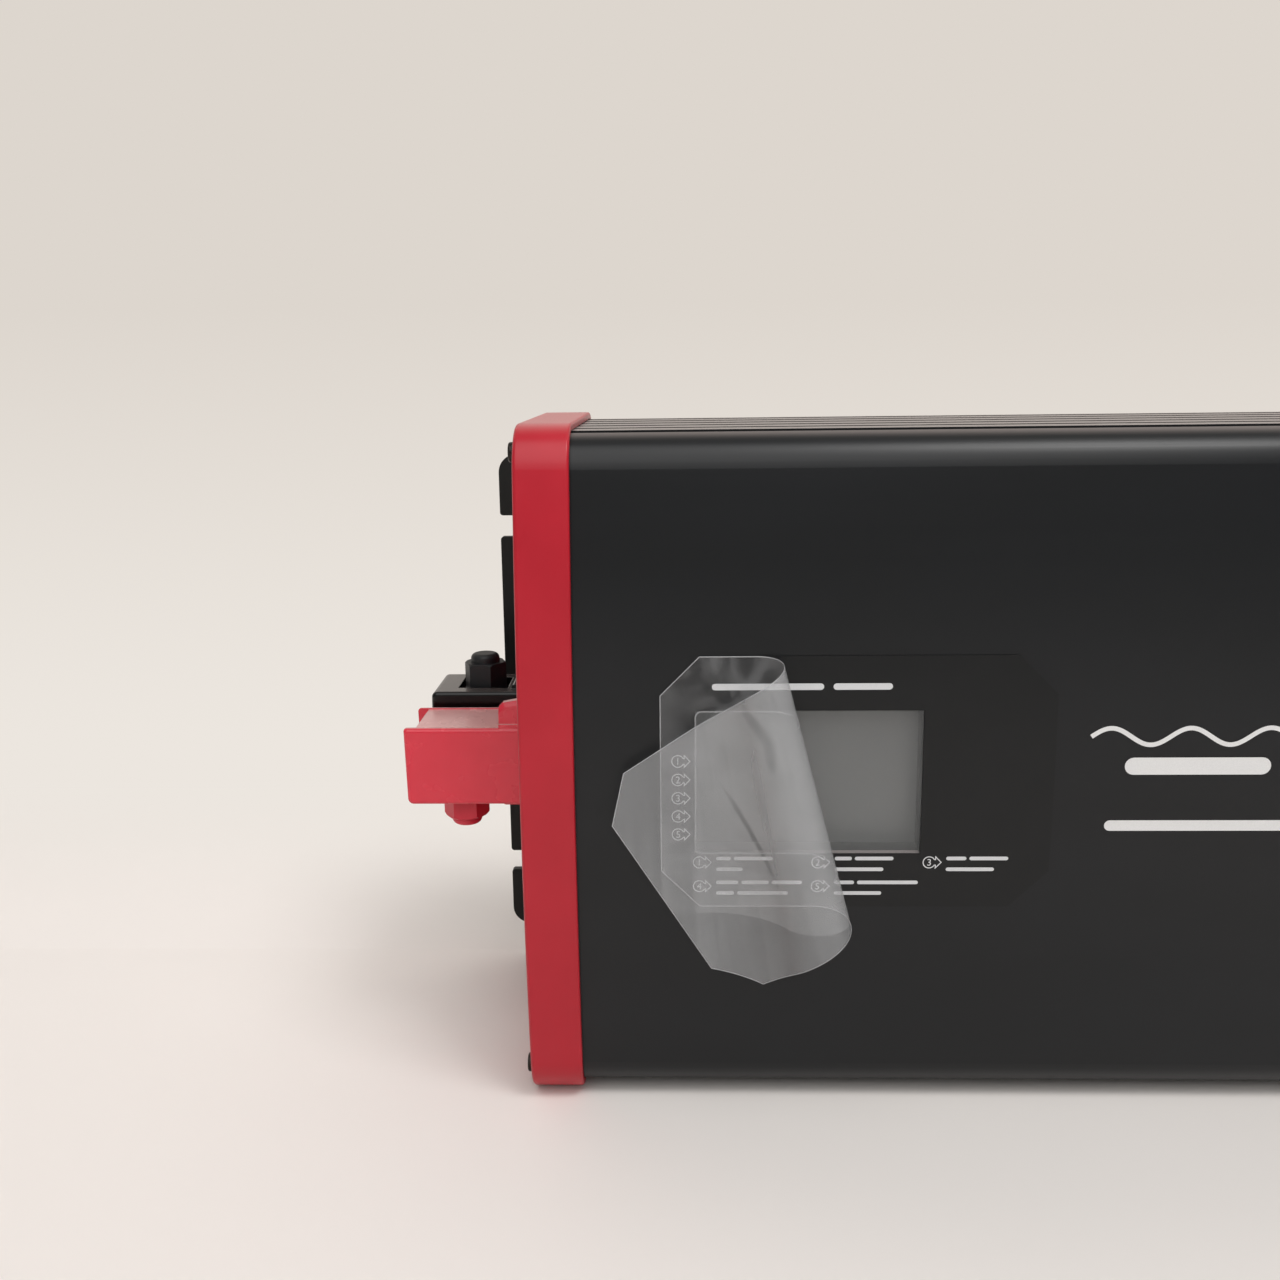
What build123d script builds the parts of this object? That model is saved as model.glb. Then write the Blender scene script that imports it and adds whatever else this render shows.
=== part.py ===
from build123d import *
import os
from math import atan2, cos, degrees, radians, sin, sqrt

# Mains power inverter, standing on its long narrow side. Millimetres, +Z up.
# The sizes below are measured from the outer face of the DC end cap (x = 0), the crown of the
# arched front (y = 0) and the surface that the end caps stand on (z = 0). The last step of this
# file moves everything so that the origin is the centre of the bounding box's underside.

# Case and end caps
body_length = 380.0  # over both end caps
body_height = 220.0  # over the end caps, as the unit stands
body_depth = 119.4  # crown of the arched front to the back
arch_drop = 8.3  # how far the arch falls back at the top and bottom edges
corner_r = 15.0
cap_width = 17.0  # band of the case that each end cap covers
cap_lip = 2.5  # step from the cap's outside down to the case
cap_wall = 3.0
cap_edge_r = 1.3
case_wall = 2.5
fit_gap = 0.2  # clearance of a part that slides or drops into another
thread_gap = 0.05  # between a screw's shank and its tapped hole
groove_count = 6  # shallow grooves along each narrow side
groove_width = 4.5
groove_depth = 0.7
groove_pitch = 15.8

mid_y = body_depth / 2
mid_z = body_height / 2
axis_y = mid_y + 2.3  # fans and outlets sit a little behind mid-depth
inside_low = cap_lip + case_wall
inside_high = body_height - inside_low

# Base plate with the mounting ears
plate_t = 3.0
plate_margin = 14.6  # from the unit's top and bottom to the plate's long edges, on average
plate_drop = 1.2  # the plate's middle below mid-height
ear_reach = 19.0  # beyond the end cap
ear_corner_r = 7.0
ear_slot_width = 8.2
ear_slot_depth = 13.0  # from the ear's free edge to the round end
ear_slot_spacing = 136.0
ear_mouth_r = 1.2
flange_width = 13.4  # inward flange of the shell behind the plate's edge
flange_rib = 4.0
plate_screw_count = 4
plate_screw_inset = 34.0  # from the cap's outer face to the first screw
screw_r = 2.0

plate_y = body_depth - plate_t
plate_mid_z = mid_z - plate_drop
plate_height = body_height - 2 * plate_margin

# Corner screws of the end caps
cap_screw_r = 1.75
cap_screw_inset_z = 8.5
cap_screw_inset_y = 17.2  # from the crown
cap_screw_inset_back = 11.0
cap_screw_length = 14.0
cap_screw_head_r = 3.1
cap_screw_head_h = 1.5
cap_washer_r = 3.4
cap_washer_t = 0.5
port_r = 3.6

# DC terminals: two like mouldings, the positive one nut down, the negative one nut up
terminal_z = mid_z - 2.6  # mid-plane of both bus bars
terminal_pitch = 31.6
negative_y = body_depth - 35.1
positive_y = negative_y - terminal_pitch
positive_reach = 43.5
negative_reach = 40.0
nut_setback = 18.2  # from the housing's front end to the stud
housing_width = 28.8
housing_wall = 2.0
housing_plate_side = 11.1  # bar mid-plane to the edge of the side walls
housing_nut_side = 15.6
housing_floor = 2.0
plate_setback = 3.8
plate_sink = 0.5
housing_draft = 0.5
housing_front_r = 2.0
housing_lip_r = 1.2
housing_edge_r = 1.4
root_t = 4.0
collar_reach = 11.3
collar_t = 4.2
collar_setback = 1.7  # from the side wall's outer face
collar_rise = 8.2
collar_slope_rise = 1.8
collar_bevel = 1.4
collar_foot = 1.2
collar_foot_setback = 0.7
collar_low_width = 19.2
collar_low_rise = 1.6
collar_low_round = 1.2
tongue_width = 24.0
tongue_height = 18.0
tongue_reach = 5.0  # beyond the cap's inner face
catch_step = 1.0
nut_window = (18.0, 16.0)
bar_width = 20.0
bar_t = 3.0
bar_corner_r = 4.0
positive_leg_x = (44.0, 62.0)
negative_leg_x = (20.0, 38.0)
stud_r = 4.0
stud_length = 20.5  # below the bar
bolt_flats = 13.0
bolt_head_h = 5.3
washer_r = 8.0
washer_t = 1.6
spring_washer_r = 6.8
spring_washer_t = 2.0
spring_split = 0.8
spring_twist = 35.0
nut_flats = 13.6  # over the moulded cover
nut_hex_end = 23.7  # bar mid-plane to the end of the hexagon
nut_end = 26.9
nut_boss_r = 5.2
nut_boss_edge_r = 1.9
nut_bevel = 0.8
positive_nut_turn = 4.0
negative_nut_turn = 9.0

# Fans, behind the DC end cap
fan_size = 60.0
fan_corner_r = 3.0
fan_t = 25.0
fan_offset_z = 58.0  # above and below mid-height
fan_bore_r = 28.6
fan_tip_r = 27.4
fan_hole_pitch = 50.0
fan_hub_r = 12.5
fan_holder_t = 3.0
strut_half = 2.0
stator_x = (8.0, 16.0)
tube_wall = 1.0
blade_count = 7
blade_t = 1.6
blade_twist = 32.0
blade_x = (3.5, 11.0, 18.0)
cup_x = (2.0, 17.0)
cup_wall = 2.0
shaft_r = 1.5
bearing_wall = 1.5
bearing_gap = 0.05
wire_r = 0.9
guard_ring_radii = (7.0, 14.0, 21.0, 28.0)
fan_spots = [(axis_y, mid_z + fan_offset_z), (axis_y, mid_z - fan_offset_z)]

# Display
label_x = (43.3, 163.0)
label_z = (mid_z - 39.4, mid_z + 41.0)
label_chamfer = 12.0
label_t = 0.4
window_x = (53.9, 123.2)
window_z = (mid_z - 21.6, mid_z + 24.2)
window_mid_z = sum(window_z) / 2
panel_depth = 11.0  # from the label's face to the display panel
panel_border = 2.5
panel_t = 2.8
frame_wall = 1.8
frame_gap = 0.3
board_t = 1.6
post_r = 2.5
ribbon_width = 18.0
ribbon_bend_r = 5.0

# Protective film: still on the label at the left, rolled over along a slanted line
film_t = 0.4
film_apex = (28.0, mid_z + 241.0)  # x and z of the point that the roll's straight lines run to
film_fold = 12.5  # angle of the fold line at that point, from straight down
film_roll_angle = 8.5  # angle there over which the film rolls outwards
film_roll_curve = 27.8
film_roll_count = 9
film_unroll_angle = 5.7  # and over which it bends back
film_unroll_curve = -10.8
film_unroll_count = 4

# AC end
socket_face = 49.0
socket_body = 44.6
socket_proud = 2.5
socket_depth = 28.0
socket_corner_r = 4.0
socket_well = 1.2
socket_face_t = 3.2
pin_spacing = 19.0
pin_row_y = 6.0
earth_row_y = -12.0
aperture = (9.0, 6.6)  # along Y and Z
contact_room = 2.6
contact_t = 0.8
tail_length = 6.0
switch_bezel = (31.0, 26.0)
switch_body = (27.4, 22.4)
switch_opening = (26.2, 18.8)
switch_depth = 22.0
tab_pitch = 12.0
tab_length = 8.0
rocker_width = 18.2
rocker_tilt = 9.0
rocker_end_r = 12.6
rocker_pin_r = 1.2
rocker_pivot_x = -1.0  # against the cap's outer face
usb_y = axis_y - 17.0
usb_size = (13.2, 5.8)
usb_wall = 0.4
jack_y = axis_y + 14.0
jack_size = (15.0, 13.0)
jack_mouth = (9.8, 6.8)
light_y = axis_y + 28.0
light_r = 2.5
earth_y = axis_y + 38.0
earth_stud_r = 2.5
earth_flats = 8.0
earth_reach = 13.0
vent_count = 5
vent_pitch = 5.0
vent_slot = (62.0, 2.6)
ac_gaps = (16.7, 7.2, 9.0, 4.0, 6.5, 17.0)  # upwards, between vents, ports, outlets and switch

# Inside
board_x = (34.0, body_length - 35.0)
board_margin = 13.5
standoff_h = 10.0
standoff_r = 3.0
standoff_inset = (8.0, 20.0)  # from the board's edges, along X and Z
board_hole_r = 1.7
board_y = plate_y - standoff_h - board_t
row_room = (12.0, 20.1)  # kept free at both ends of the board for leads and wires
row_gaps = (0.0, 6.5, 3.5, 6.0, 9.5, 7.5, 9.0, 21.3)
input_can = (8.0, 36.0)  # radius and height
input_can_pitch = 20.0
input_can_gap = 7.0  # to the clamp strips
bus_can = (17.5, 50.0)
bus_can_pitch = 45.0
fuse_size = (5.0, 14.0, 19.0)
fuse_count = 6
fuse_pitch = 24.0
fuse_blade = (0.8, 5.0)
core_size = (22.0, 50.0, 56.0)
core_lift = 4.0
core_yoke = 9.0
core_window = 12.0
core_limb = 18.0
core_pitch = 64.0
winding_length = 42.0
choke_r = 20.0
choke_bore_r = 11.0
choke_t = 18.0
choke_pitch = 70.0
winding_t = 3.0
seat_gap = 0.3  # between a soft or loose piece and what carries it
heat_sink_x = (66.0, body_length - 50.0)
heat_sink_y = (board_y - 36.8, board_y - 8.8)
heat_sink_t = 9.0
transistor_count = 8
transistor_margin = 20.0  # from the heat sink's ends
transistor_size = (15.9, 20.8, 5.0)
leg_pitch = 5.4
clamp_y = (board_y - 26.8, board_y - 16.8)
clamp_t = 2.0
card_length = 9.6  # from the plug to the chips' faces
card_plug = 6.0
card_height = 80.0
wire_pitch = 4.2
ac_wire_r = 1.5

cap_screw_spots = [
    (y, z)
    for y in (cap_screw_inset_y, body_depth - cap_screw_inset_back)
    for z in (cap_screw_inset_z, body_height - cap_screw_inset_z)
]
centre = (Align.CENTER, Align.CENTER, Align.MIN)


def laid_out(low, high, lengths, gaps):
    """Centres of pieces in a row between two ends, the room left over shared out like the gaps."""
    share = (high - low - sum(lengths)) / sum(gaps)
    centres = []
    for length, gap in zip(lengths, gaps):
        low += gap * share
        centres.append(low + length / 2)
        low += length
    return centres


vent_block = (vent_count - 1) * vent_pitch + vent_slot[1]
ac_column = (vent_block, jack_size[1], socket_face, socket_face, switch_bezel[1])
vent_mid_z, port_row_z, lower_socket_z, upper_socket_z, switch_z = laid_out(
    0, body_height, ac_column, ac_gaps
)
socket_z = (upper_socket_z, lower_socket_z)
light_z = (switch_z - 6.0, switch_z + 6.0)

input_block = input_can_pitch + 2 * input_can[0]
choke_block = 2 * (choke_r + winding_t)
row = (input_block, fuse_size[0], winding_length, winding_length, 2 * bus_can[0], choke_block, card_length)
input_x, fuse_x, near_core_x, far_core_x, bus_can_x, choke_x, card_mid_x = laid_out(
    board_x[0] + row_room[0], board_x[1] - row_room[1], row, row_gaps
)
card_x = card_mid_x - card_length / 2 + card_plug


def block(x, y, z):
    """A box between three (low, high) pairs."""
    size = [high - low for low, high in (x, y, z)]
    middle = [(high + low) / 2 for low, high in (x, y, z)]
    return Pos(*middle) * Box(*size)


def around(middle, size):
    """The (low, high) pair of a length laid centrally about a point."""
    return middle - size / 2, middle + size / 2


def rod_x(x, y, z, r, length):
    """A round bar that starts at a point and runs along +X."""
    return Pos(x, y, z) * Rot(0, 90, 0) * Cylinder(r, length, align=centre)


def rod_y(x, y, z, r, length):
    """A round bar that starts at a point and runs along +Y."""
    return Pos(x, y, z) * Rot(-90, 0, 0) * Cylinder(r, length, align=centre)


def tube(points, bend, r):
    """A round wire along straight runs joined by arcs."""
    path = FilletPolyline(*points, radius=bend)
    return sweep(Plane(origin=path @ 0, z_dir=path % 0) * Circle(r), path=path)


def section(inset):
    """The cap's outline across X, moved inwards: arched front, flat back, round corners."""
    front_low = (arch_drop, 0)
    front_high = (arch_drop, body_height)
    arch = ThreePointArc(front_high, (0, mid_z), front_low)
    rest = Polyline(front_low, (body_depth, 0), (body_depth, body_height), front_high)
    face = make_face(arch + rest)
    face = fillet(face.vertices(), corner_r)
    return offset(face, amount=-inset) if inset else face


def prism(profile, x0, length):
    """A YZ profile carried along +X."""
    return extrude(Plane.YZ.offset(x0) * profile, amount=length)


def cross_recess(size, depth):
    """The two crossed cuts of a cross-head screw, opening towards -Z at z = 0."""
    bar = Box(size, size * 0.24, 2 * depth)
    return bar + Rot(0, 0, 90) * bar


def pan_screw(head_r, head_h, shank_r, length):
    """A pan-head screw along +Z: the head below z = 0, the shank above."""
    head = Pos(0, 0, -head_h) * Cylinder(head_r, head_h, align=centre)
    head = fillet(head.edges().group_by(Axis.Z)[0], head_h * 0.45)
    head -= Pos(0, 0, -head_h) * cross_recess(head_r * 1.15, head_h * 0.6)
    return head + Cylinder(shank_r, length, align=centre)


def flat_front(x, z, y_low, y_high):
    """A chamfered octagon's prism along Y between two depths."""
    wide = x[1] - x[0]
    high = z[1] - z[0]
    face = chamfer(Rectangle(wide, high).vertices(), label_chamfer)
    middle = (sum(x) / 2, y_high, sum(z) / 2)
    return extrude(Plane(middle, x_dir=(1, 0, 0), z_dir=(0, -1, 0)) * face, amount=y_high - y_low)


# Case


def case_shell():
    """Extruded shell, open at the back, with screw ports, inward flanges and the window."""
    length = body_length - 2 * cap_wall
    profile = section(cap_lip) - section(cap_lip + case_wall)
    for z in (cap_lip, body_height - cap_lip):
        for k in range(groove_count):
            y = mid_y + (k - (groove_count - 1) / 2) * groove_pitch
            profile -= Pos(y, z) * Rectangle(groove_width, 2 * groove_depth)
    room = plate_height + 2 * fit_gap
    profile -= Pos(plate_y + plate_t, plate_mid_z) * Rectangle(2 * plate_t, room)
    opening = plate_height - 2 * flange_width
    profile -= Pos(body_depth, plate_mid_z) * Rectangle(4 * inside_low, opening)
    for z in plate_screw_rows():
        profile += Pos(plate_y - flange_rib / 2 - 1, z) * Rectangle(flange_rib + 2, flange_width - 4)
    for spot in cap_screw_spots:
        profile += Pos(*spot) * Circle(port_r)
    for spot in cap_screw_spots:
        profile -= Pos(*spot) * Circle(cap_screw_r + thread_gap)
    shell = prism(profile, cap_wall, length)
    shell -= block(window_x, (-1, inside_low + 2), window_z)
    for x, z in plate_screw_spots():
        shell -= rod_y(x, plate_y - 2 * flange_rib, z, screw_r + thread_gap, 3 * flange_rib)
    return shell


def plate_screw_rows():
    """Heights of the two rows of base plate screws, in the middle of the flanges."""
    return around(plate_mid_z, plate_height - flange_width)


def plate_screw_spots():
    """Where the base plate's screws sit, along X and Z."""
    pitch = (body_length - 2 * plate_screw_inset) / (plate_screw_count - 1)
    xs = [plate_screw_inset + k * pitch for k in range(plate_screw_count)]
    return [(x, z) for x in xs for z in plate_screw_rows()]


def base_plate():
    """Flat plate that closes the back and reaches out at both ends as slotted ears."""
    wide = body_length + 2 * ear_reach
    face = RectangleRounded(wide, plate_height, ear_corner_r)
    slot = ear_slot_depth - ear_slot_width / 2
    for side in (-1, 1):
        for level in (-1, 1):
            end = Pos(side * (wide / 2 - slot), level * ear_slot_spacing / 2)
            face -= end * Circle(ear_slot_width / 2)
            run = Pos(side * (wide / 2 - slot / 2 + 1), level * ear_slot_spacing / 2)
            face -= run * Rectangle(slot + 2, ear_slot_width)
    mouths = [
        v
        for v in face.vertices()
        if abs(v.X) > wide / 2 - 0.1 and abs(v.Y) < (ear_slot_spacing + ear_slot_width) / 2 + 0.1
    ]
    face = fillet(mouths, ear_mouth_r)
    middle = Plane((body_length / 2, body_depth, plate_mid_z), x_dir=(1, 0, 0), z_dir=(0, -1, 0))
    plate = extrude(middle * face, amount=plate_t)
    for x, z in plate_screw_spots():
        plate -= rod_y(x, plate_y - 1, z, screw_r + fit_gap, plate_t + 2)
        plate -= Pos(x, body_depth - screw_r, z) * Rot(-90, 0, 0) * Cone(
            screw_r + fit_gap, 2 * screw_r + fit_gap, screw_r, align=centre
        )
    for x, z in standoff_spots():
        plate -= rod_y(x, plate_y - 1, z, board_hole_r, plate_t + 2)
    return plate


def base_plate_screws():
    """Countersunk screws, flush with the plate's back."""
    screws = []
    for x, z in plate_screw_spots():
        shank = rod_y(x, plate_y - flange_rib, z, screw_r, flange_rib + plate_t - screw_r)
        head = Pos(x, body_depth - screw_r, z) * Rot(-90, 0, 0) * Cone(
            screw_r, 2 * screw_r, screw_r, align=centre
        )
        recess = Pos(x, body_depth, z) * Rot(-90, 0, 0) * cross_recess(2 * screw_r, screw_r * 0.6)
        screws.append(shank + head - recess)
    return screws


# End caps


def end_cap_blank():
    """The DC-side cap before its openings: a wall, a rim round the case and the plate's notch."""
    cap = prism(section(0), 0, cap_width)
    cap = fillet(cap.edges().group_by(Axis.X)[0], cap_edge_r)
    cap = fillet(cap.edges().group_by(Axis.X)[-1], cap_edge_r * 0.7)
    cap -= prism(section(cap_lip - fit_gap), cap_wall, cap_width)
    notch = around(plate_mid_z, plate_height + 2 * fit_gap)
    cap -= block((-1, cap_width + 1), (plate_y - fit_gap, body_depth + 1), notch)
    for y, z in cap_screw_spots:
        cap -= rod_x(-1, y, z, cap_screw_r + fit_gap, cap_wall + 2)
    return cap


def dc_end_cap():
    """Cap with two fan openings and the two terminal openings."""
    cap = end_cap_blank()
    for y, z in fan_spots:
        cap -= rod_x(-1, y, z, fan_bore_r, cap_wall + 2)
        for dy in (-1, 1):
            for dz in (-1, 1):
                spot = (y + dy * fan_hole_pitch / 2, z + dz * fan_hole_pitch / 2)
                cap -= rod_x(-1, *spot, cap_screw_r + fit_gap, cap_wall + 2)
    high = around(terminal_z, tongue_height + 2 * fit_gap)
    for y in (positive_y, negative_y):
        cap -= block((-1, cap_wall + 1), around(y, tongue_width + 2 * fit_gap), high)
    return cap


def ac_end_cap():
    """The same cap turned to the other end, with the openings for sockets, switch and ports."""
    cap = mirror(end_cap_blank(), about=Plane.YZ.offset(body_length / 2))
    wall = (body_length - cap_wall - 1, body_length + 1)
    room = socket_body + 2 * fit_gap
    for z in socket_z:
        cap -= block(wall, around(axis_y, room), around(z, room))
    sides = [size + 2 * fit_gap for size in switch_body]
    cap -= block(wall, around(axis_y, sides[0]), around(switch_z, sides[1]))
    sides = [size + 2 * fit_gap for size in usb_size]
    cap -= block(wall, around(usb_y, sides[0]), around(port_row_z, sides[1]))
    sides = [size + 2 * fit_gap for size in jack_size]
    cap -= block(wall, around(jack_y, sides[0]), around(port_row_z, sides[1]))
    for z in light_z:
        cap -= rod_x(wall[0], light_y, z, light_r + fit_gap, cap_wall + 2)
    cap -= rod_x(wall[0], earth_y, port_row_z, earth_stud_r + fit_gap, cap_wall + 2)
    for k in range(vent_count):
        z = vent_mid_z + (k - (vent_count - 1) / 2) * vent_pitch
        cap -= block(wall, around(axis_y, vent_slot[0]), around(z, vent_slot[1]))
    return cap


def end_cap_screws():
    """Four screws through each cap into the shell's ports, a washer under each head."""
    screw = pan_screw(cap_screw_head_r, cap_screw_head_h, cap_screw_r, cap_screw_length)
    dc = [Pos(-cap_washer_t, y, z) * Rot(0, 90, 0) * screw for y, z in cap_screw_spots]
    ac_x = body_length + cap_washer_t
    ac = [Pos(ac_x, y, z) * Rot(0, -90, 0) * screw for y, z in cap_screw_spots]
    return dc + ac


def end_cap_washers():
    """One plain washer under each corner screw."""
    spots = [(x, y, z) for x in (-cap_washer_t, body_length) for y, z in cap_screw_spots]
    ring = Cylinder(cap_washer_r, cap_washer_t, align=centre)
    ring -= Cylinder(cap_screw_r + fit_gap, cap_washer_t, align=centre)
    return [Pos(*spot) * Rot(0, 90, 0) * ring for spot in spots]


# DC terminals. Each is drawn about its bar's mid-plane with the plate side up, x = 0 at the cap.


def at_positive(part):
    """Places a terminal part nut side down."""
    return Pos(0, positive_y, terminal_z) * part


def at_negative(part):
    """Places a terminal part turned over, nut side up."""
    return Pos(0, negative_y, terminal_z) * Rot(180, 0, 0) * part


def terminal_housing(reach):
    """Box open towards the cable, with a sunken plate on one side and a nut window on the other."""
    top = housing_plate_side
    low = -housing_nut_side
    half = housing_width / 2
    inner = half - housing_wall
    stud_x = nut_setback - reach
    side = make_face(Polyline((0, top), (-reach, top), (housing_draft - reach, low), (0, low), (0, top)))
    low_corner = side.vertices().group_by(Axis.Y)[0].sort_by(Axis.X)[0]
    side = fillet(low_corner, housing_front_r)
    high_corner = side.vertices().group_by(Axis.Y)[-1].sort_by(Axis.X)[0]
    side = fillet(high_corner, housing_lip_r)
    body = extrude(Plane.XZ * side, amount=half, both=True)
    long_edges = body.edges().filter_by(Axis.X).group_by(Axis.Z)[0]
    body = fillet(long_edges, housing_edge_r)
    ceiling = top - plate_sink - housing_floor
    front = -reach - 1
    body -= block((front, -root_t), (-inner, inner), (low + housing_floor, ceiling))
    body -= block((front, 0), (-inner, inner), (top - plate_sink, top + 1))
    body -= block((front, plate_setback - reach), (-inner, inner), (ceiling - 1, top + 1))
    window = (around(stud_x, nut_window[0]), around(0, nut_window[1]))
    body -= block(*window, (low - 1, low + housing_floor + 1))
    foot = half - collar_foot_setback
    body += block((-collar_reach, 0), (-foot, foot), (top - 1, top + collar_foot))
    collar_top = top + collar_rise
    collar_back = half - collar_setback - collar_t
    collar = make_face(
        Polyline(
            (0, top - 1),
            (-collar_reach, top - 1),
            (-collar_reach, collar_top - collar_bevel),
            (collar_bevel - collar_reach, collar_top),
            (0, collar_top + collar_slope_rise),
            (0, top - 1),
        )
    )
    rib = extrude(Plane.XZ.offset(collar_back) * collar, amount=collar_t)
    body += chamfer(rib.edges().group_by(Axis.Y)[0].sort_by(Axis.Z)[-2:], collar_bevel)
    low_collar = block((-collar_reach, 0), around(0, collar_low_width), (low - collar_low_rise, low + 1))
    outer_edge = low_collar.edges().filter_by(Axis.Y).group_by(Axis.Z)[0].sort_by(Axis.X)[0]
    body += fillet(outer_edge, collar_low_round)
    tongue_end = cap_wall + tongue_reach
    body += block((-1, tongue_end), around(0, tongue_width), around(0, tongue_height))
    catch = (cap_wall + fit_gap, cap_wall + 2)
    body += block(catch, around(0, tongue_width + 2 * catch_step), around(0, tongue_height / 2))
    slot = (around(0, bar_width + 2 * fit_gap), around(0, bar_t + 2 * fit_gap))
    return body - block((-root_t - 1, tongue_end + 1), *slot)


def bus_bar(reach, leg_x, y):
    """Flat copper bar from the stud to the main board, an L standing on the board's edge."""
    stud_x = nut_setback - reach
    front = stud_x - bar_width / 2
    bar = block((front, leg_x[1]), around(y, bar_width), around(terminal_z, bar_t))
    bar += block(leg_x, (y - bar_width / 2, board_y), around(terminal_z, bar_t))
    bar = fillet(bar.edges().filter_by(Axis.Z).sort_by(Axis.X)[:2], bar_corner_r)
    return bar - Pos(stud_x, y, terminal_z - bar_t) * Cylinder(stud_r + fit_gap, 2 * bar_t, align=centre)


def terminal_stud(reach):
    """Hexagon bolt, its head on the plate side of the bar."""
    x = nut_setback - reach
    head = extrude(RegularPolygon(bolt_flats / 2, 6, major_radius=False), bolt_head_h)
    shank = Pos(x, 0, -stud_length) * Cylinder(stud_r, stud_length + bar_t / 2 + 1, align=centre)
    return shank + Pos(x, 0, bar_t / 2) * head


def terminal_washers(reach):
    """A flat washer against the bar and a split spring washer on it."""
    x = nut_setback - reach
    hole_r = stud_r + fit_gap
    flat = Cylinder(washer_r, washer_t, align=centre) - Cylinder(hole_r, washer_t, align=centre)
    spring = Cylinder(spring_washer_r, spring_washer_t, align=centre)
    spring -= Cylinder(hole_r, spring_washer_t, align=centre)
    split = Box(2 * spring_washer_r, spring_split, 4 * spring_washer_t)
    spring -= Pos(spring_washer_r, 0, spring_washer_t / 2) * Rot(spring_twist, 0, 0) * split
    flat_z = -bar_t / 2 - washer_t
    return [Pos(x, 0, flat_z) * flat, Pos(x, 0, flat_z - spring_washer_t) * spring]


def cap_nut(reach, turn):
    """Long hexagon nut with a round closed boss, moulded over in plastic."""
    start = -bar_t / 2 - washer_t - spring_washer_t
    hex_length = nut_hex_end + start
    nut = extrude(RegularPolygon(nut_flats / 2, 6, major_radius=False), hex_length)
    round_blank = Cylinder(nut_flats / sqrt(3) + thread_gap, hex_length, align=centre)
    nut &= chamfer(round_blank.edges().group_by(Axis.Z)[0], nut_bevel)
    boss_h = nut_end - nut_hex_end
    boss = Pos(0, 0, -boss_h) * Cylinder(nut_boss_r, boss_h + 1, align=centre)
    nut += fillet(boss.edges().group_by(Axis.Z)[0], nut_boss_edge_r)
    bore = stud_length + start + 1
    nut -= Pos(0, 0, hex_length - bore) * Cylinder(stud_r + thread_gap, bore, align=centre)
    return Pos(nut_setback - reach, 0, -nut_hex_end) * Rot(0, 0, turn) * nut


# Fans, drawn about their axis with x = 0 at the cap's inner face


def at_fan(part, spot):
    """Places a fan part behind the cap at one of the two openings."""
    return Pos(cap_wall, *spot) * part


def fan_frame():
    """Square frame with a round bore, the motor's holder on three struts and its bearing tube."""
    frame = prism(RectangleRounded(fan_size, fan_size, fan_corner_r), 0, fan_t)
    frame -= rod_x(-1, 0, 0, fan_bore_r, fan_t + 2)
    holder_x = fan_t - fan_holder_t
    frame += rod_x(holder_x, 0, 0, fan_hub_r, fan_holder_t)
    for k in range(3):
        strut = block((holder_x, fan_t), (fan_hub_r - 1, fan_bore_r + 1), (-strut_half, strut_half))
        frame += Rot(120 * k + 30, 0, 0) * strut
    frame += rod_x(stator_x[0], 0, 0, fan_hub_r - cup_wall - 1.5, stator_x[1] - stator_x[0])
    tube_r = shaft_r + bearing_wall + tube_wall
    frame += rod_x(stator_x[0] - 2, 0, 0, tube_r, holder_x + 3 - stator_x[0])
    frame -= rod_x(stator_x[0] - 3, 0, 0, shaft_r + bearing_wall, fan_t)
    for dy in (-1, 1):
        for dz in (-1, 1):
            frame -= rod_x(-1, dy * fan_hole_pitch / 2, dz * fan_hole_pitch / 2, screw_r, fan_t + 2)
    return frame


def fan_bearing():
    """Sleeve bearing pressed in the holder's tube."""
    start = stator_x[0] - 1
    sleeve = rod_x(start, 0, 0, shaft_r + bearing_wall - thread_gap, fan_t - start - 2)
    return sleeve - rod_x(start - 1, 0, 0, shaft_r + bearing_gap, fan_t)


def fan_rotor():
    """Hub cup with its shaft and seven twisted blades."""
    cup = rod_x(cup_x[0], 0, 0, fan_hub_r, cup_x[1] - cup_x[0])
    cup = fillet(cup.edges().group_by(Axis.X)[0], 1.2)
    cup -= rod_x(cup_x[0] + 1.5, 0, 0, fan_hub_r - cup_wall, cup_x[1])
    rotor = cup + rod_x(cup_x[0] + 1, 0, 0, shaft_r, fan_t - cup_x[0] - 6)
    span = fan_tip_r - fan_hub_r + 0.8
    turns = (-blade_twist / 2, 3.0, blade_twist / 2)
    for k in range(blade_count):
        stations = []
        for x, turn in zip(blade_x, turns):
            spoke = Pos(fan_tip_r - span / 2, 0) * Rectangle(span, blade_t)
            stations.append(Plane.YZ.offset(x) * Rot(0, 0, turn + 360 / blade_count * k) * spoke)
        rotor += loft(stations, ruled=True)
    return rotor


def finger_guard():
    """Wire guard: rings over four spokes, each spoke ending in an eye under a screw."""
    ring_x = -wire_r - 1.5 * wire_r
    guard = Part()
    for radius in guard_ring_radii:
        guard += Pos(ring_x, 0, 0) * Rot(0, 90, 0) * Torus(radius, wire_r)
    eye_r = cap_screw_r + wire_r + 0.6
    start = guard_ring_radii[0]
    run = sqrt(2) * fan_hole_pitch / 2 - eye_r - start
    for k in range(4):
        spoke = Pos(0, 0, start) * Cylinder(wire_r, run, align=centre)
        eye = Pos(0, 0, start + run + eye_r) * Rot(0, 90, 0) * Torus(eye_r, wire_r)
        guard += Pos(-wire_r, 0, 0) * Rot(45 + 90 * k, 0, 0) * (spoke + eye)
    return guard


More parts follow.
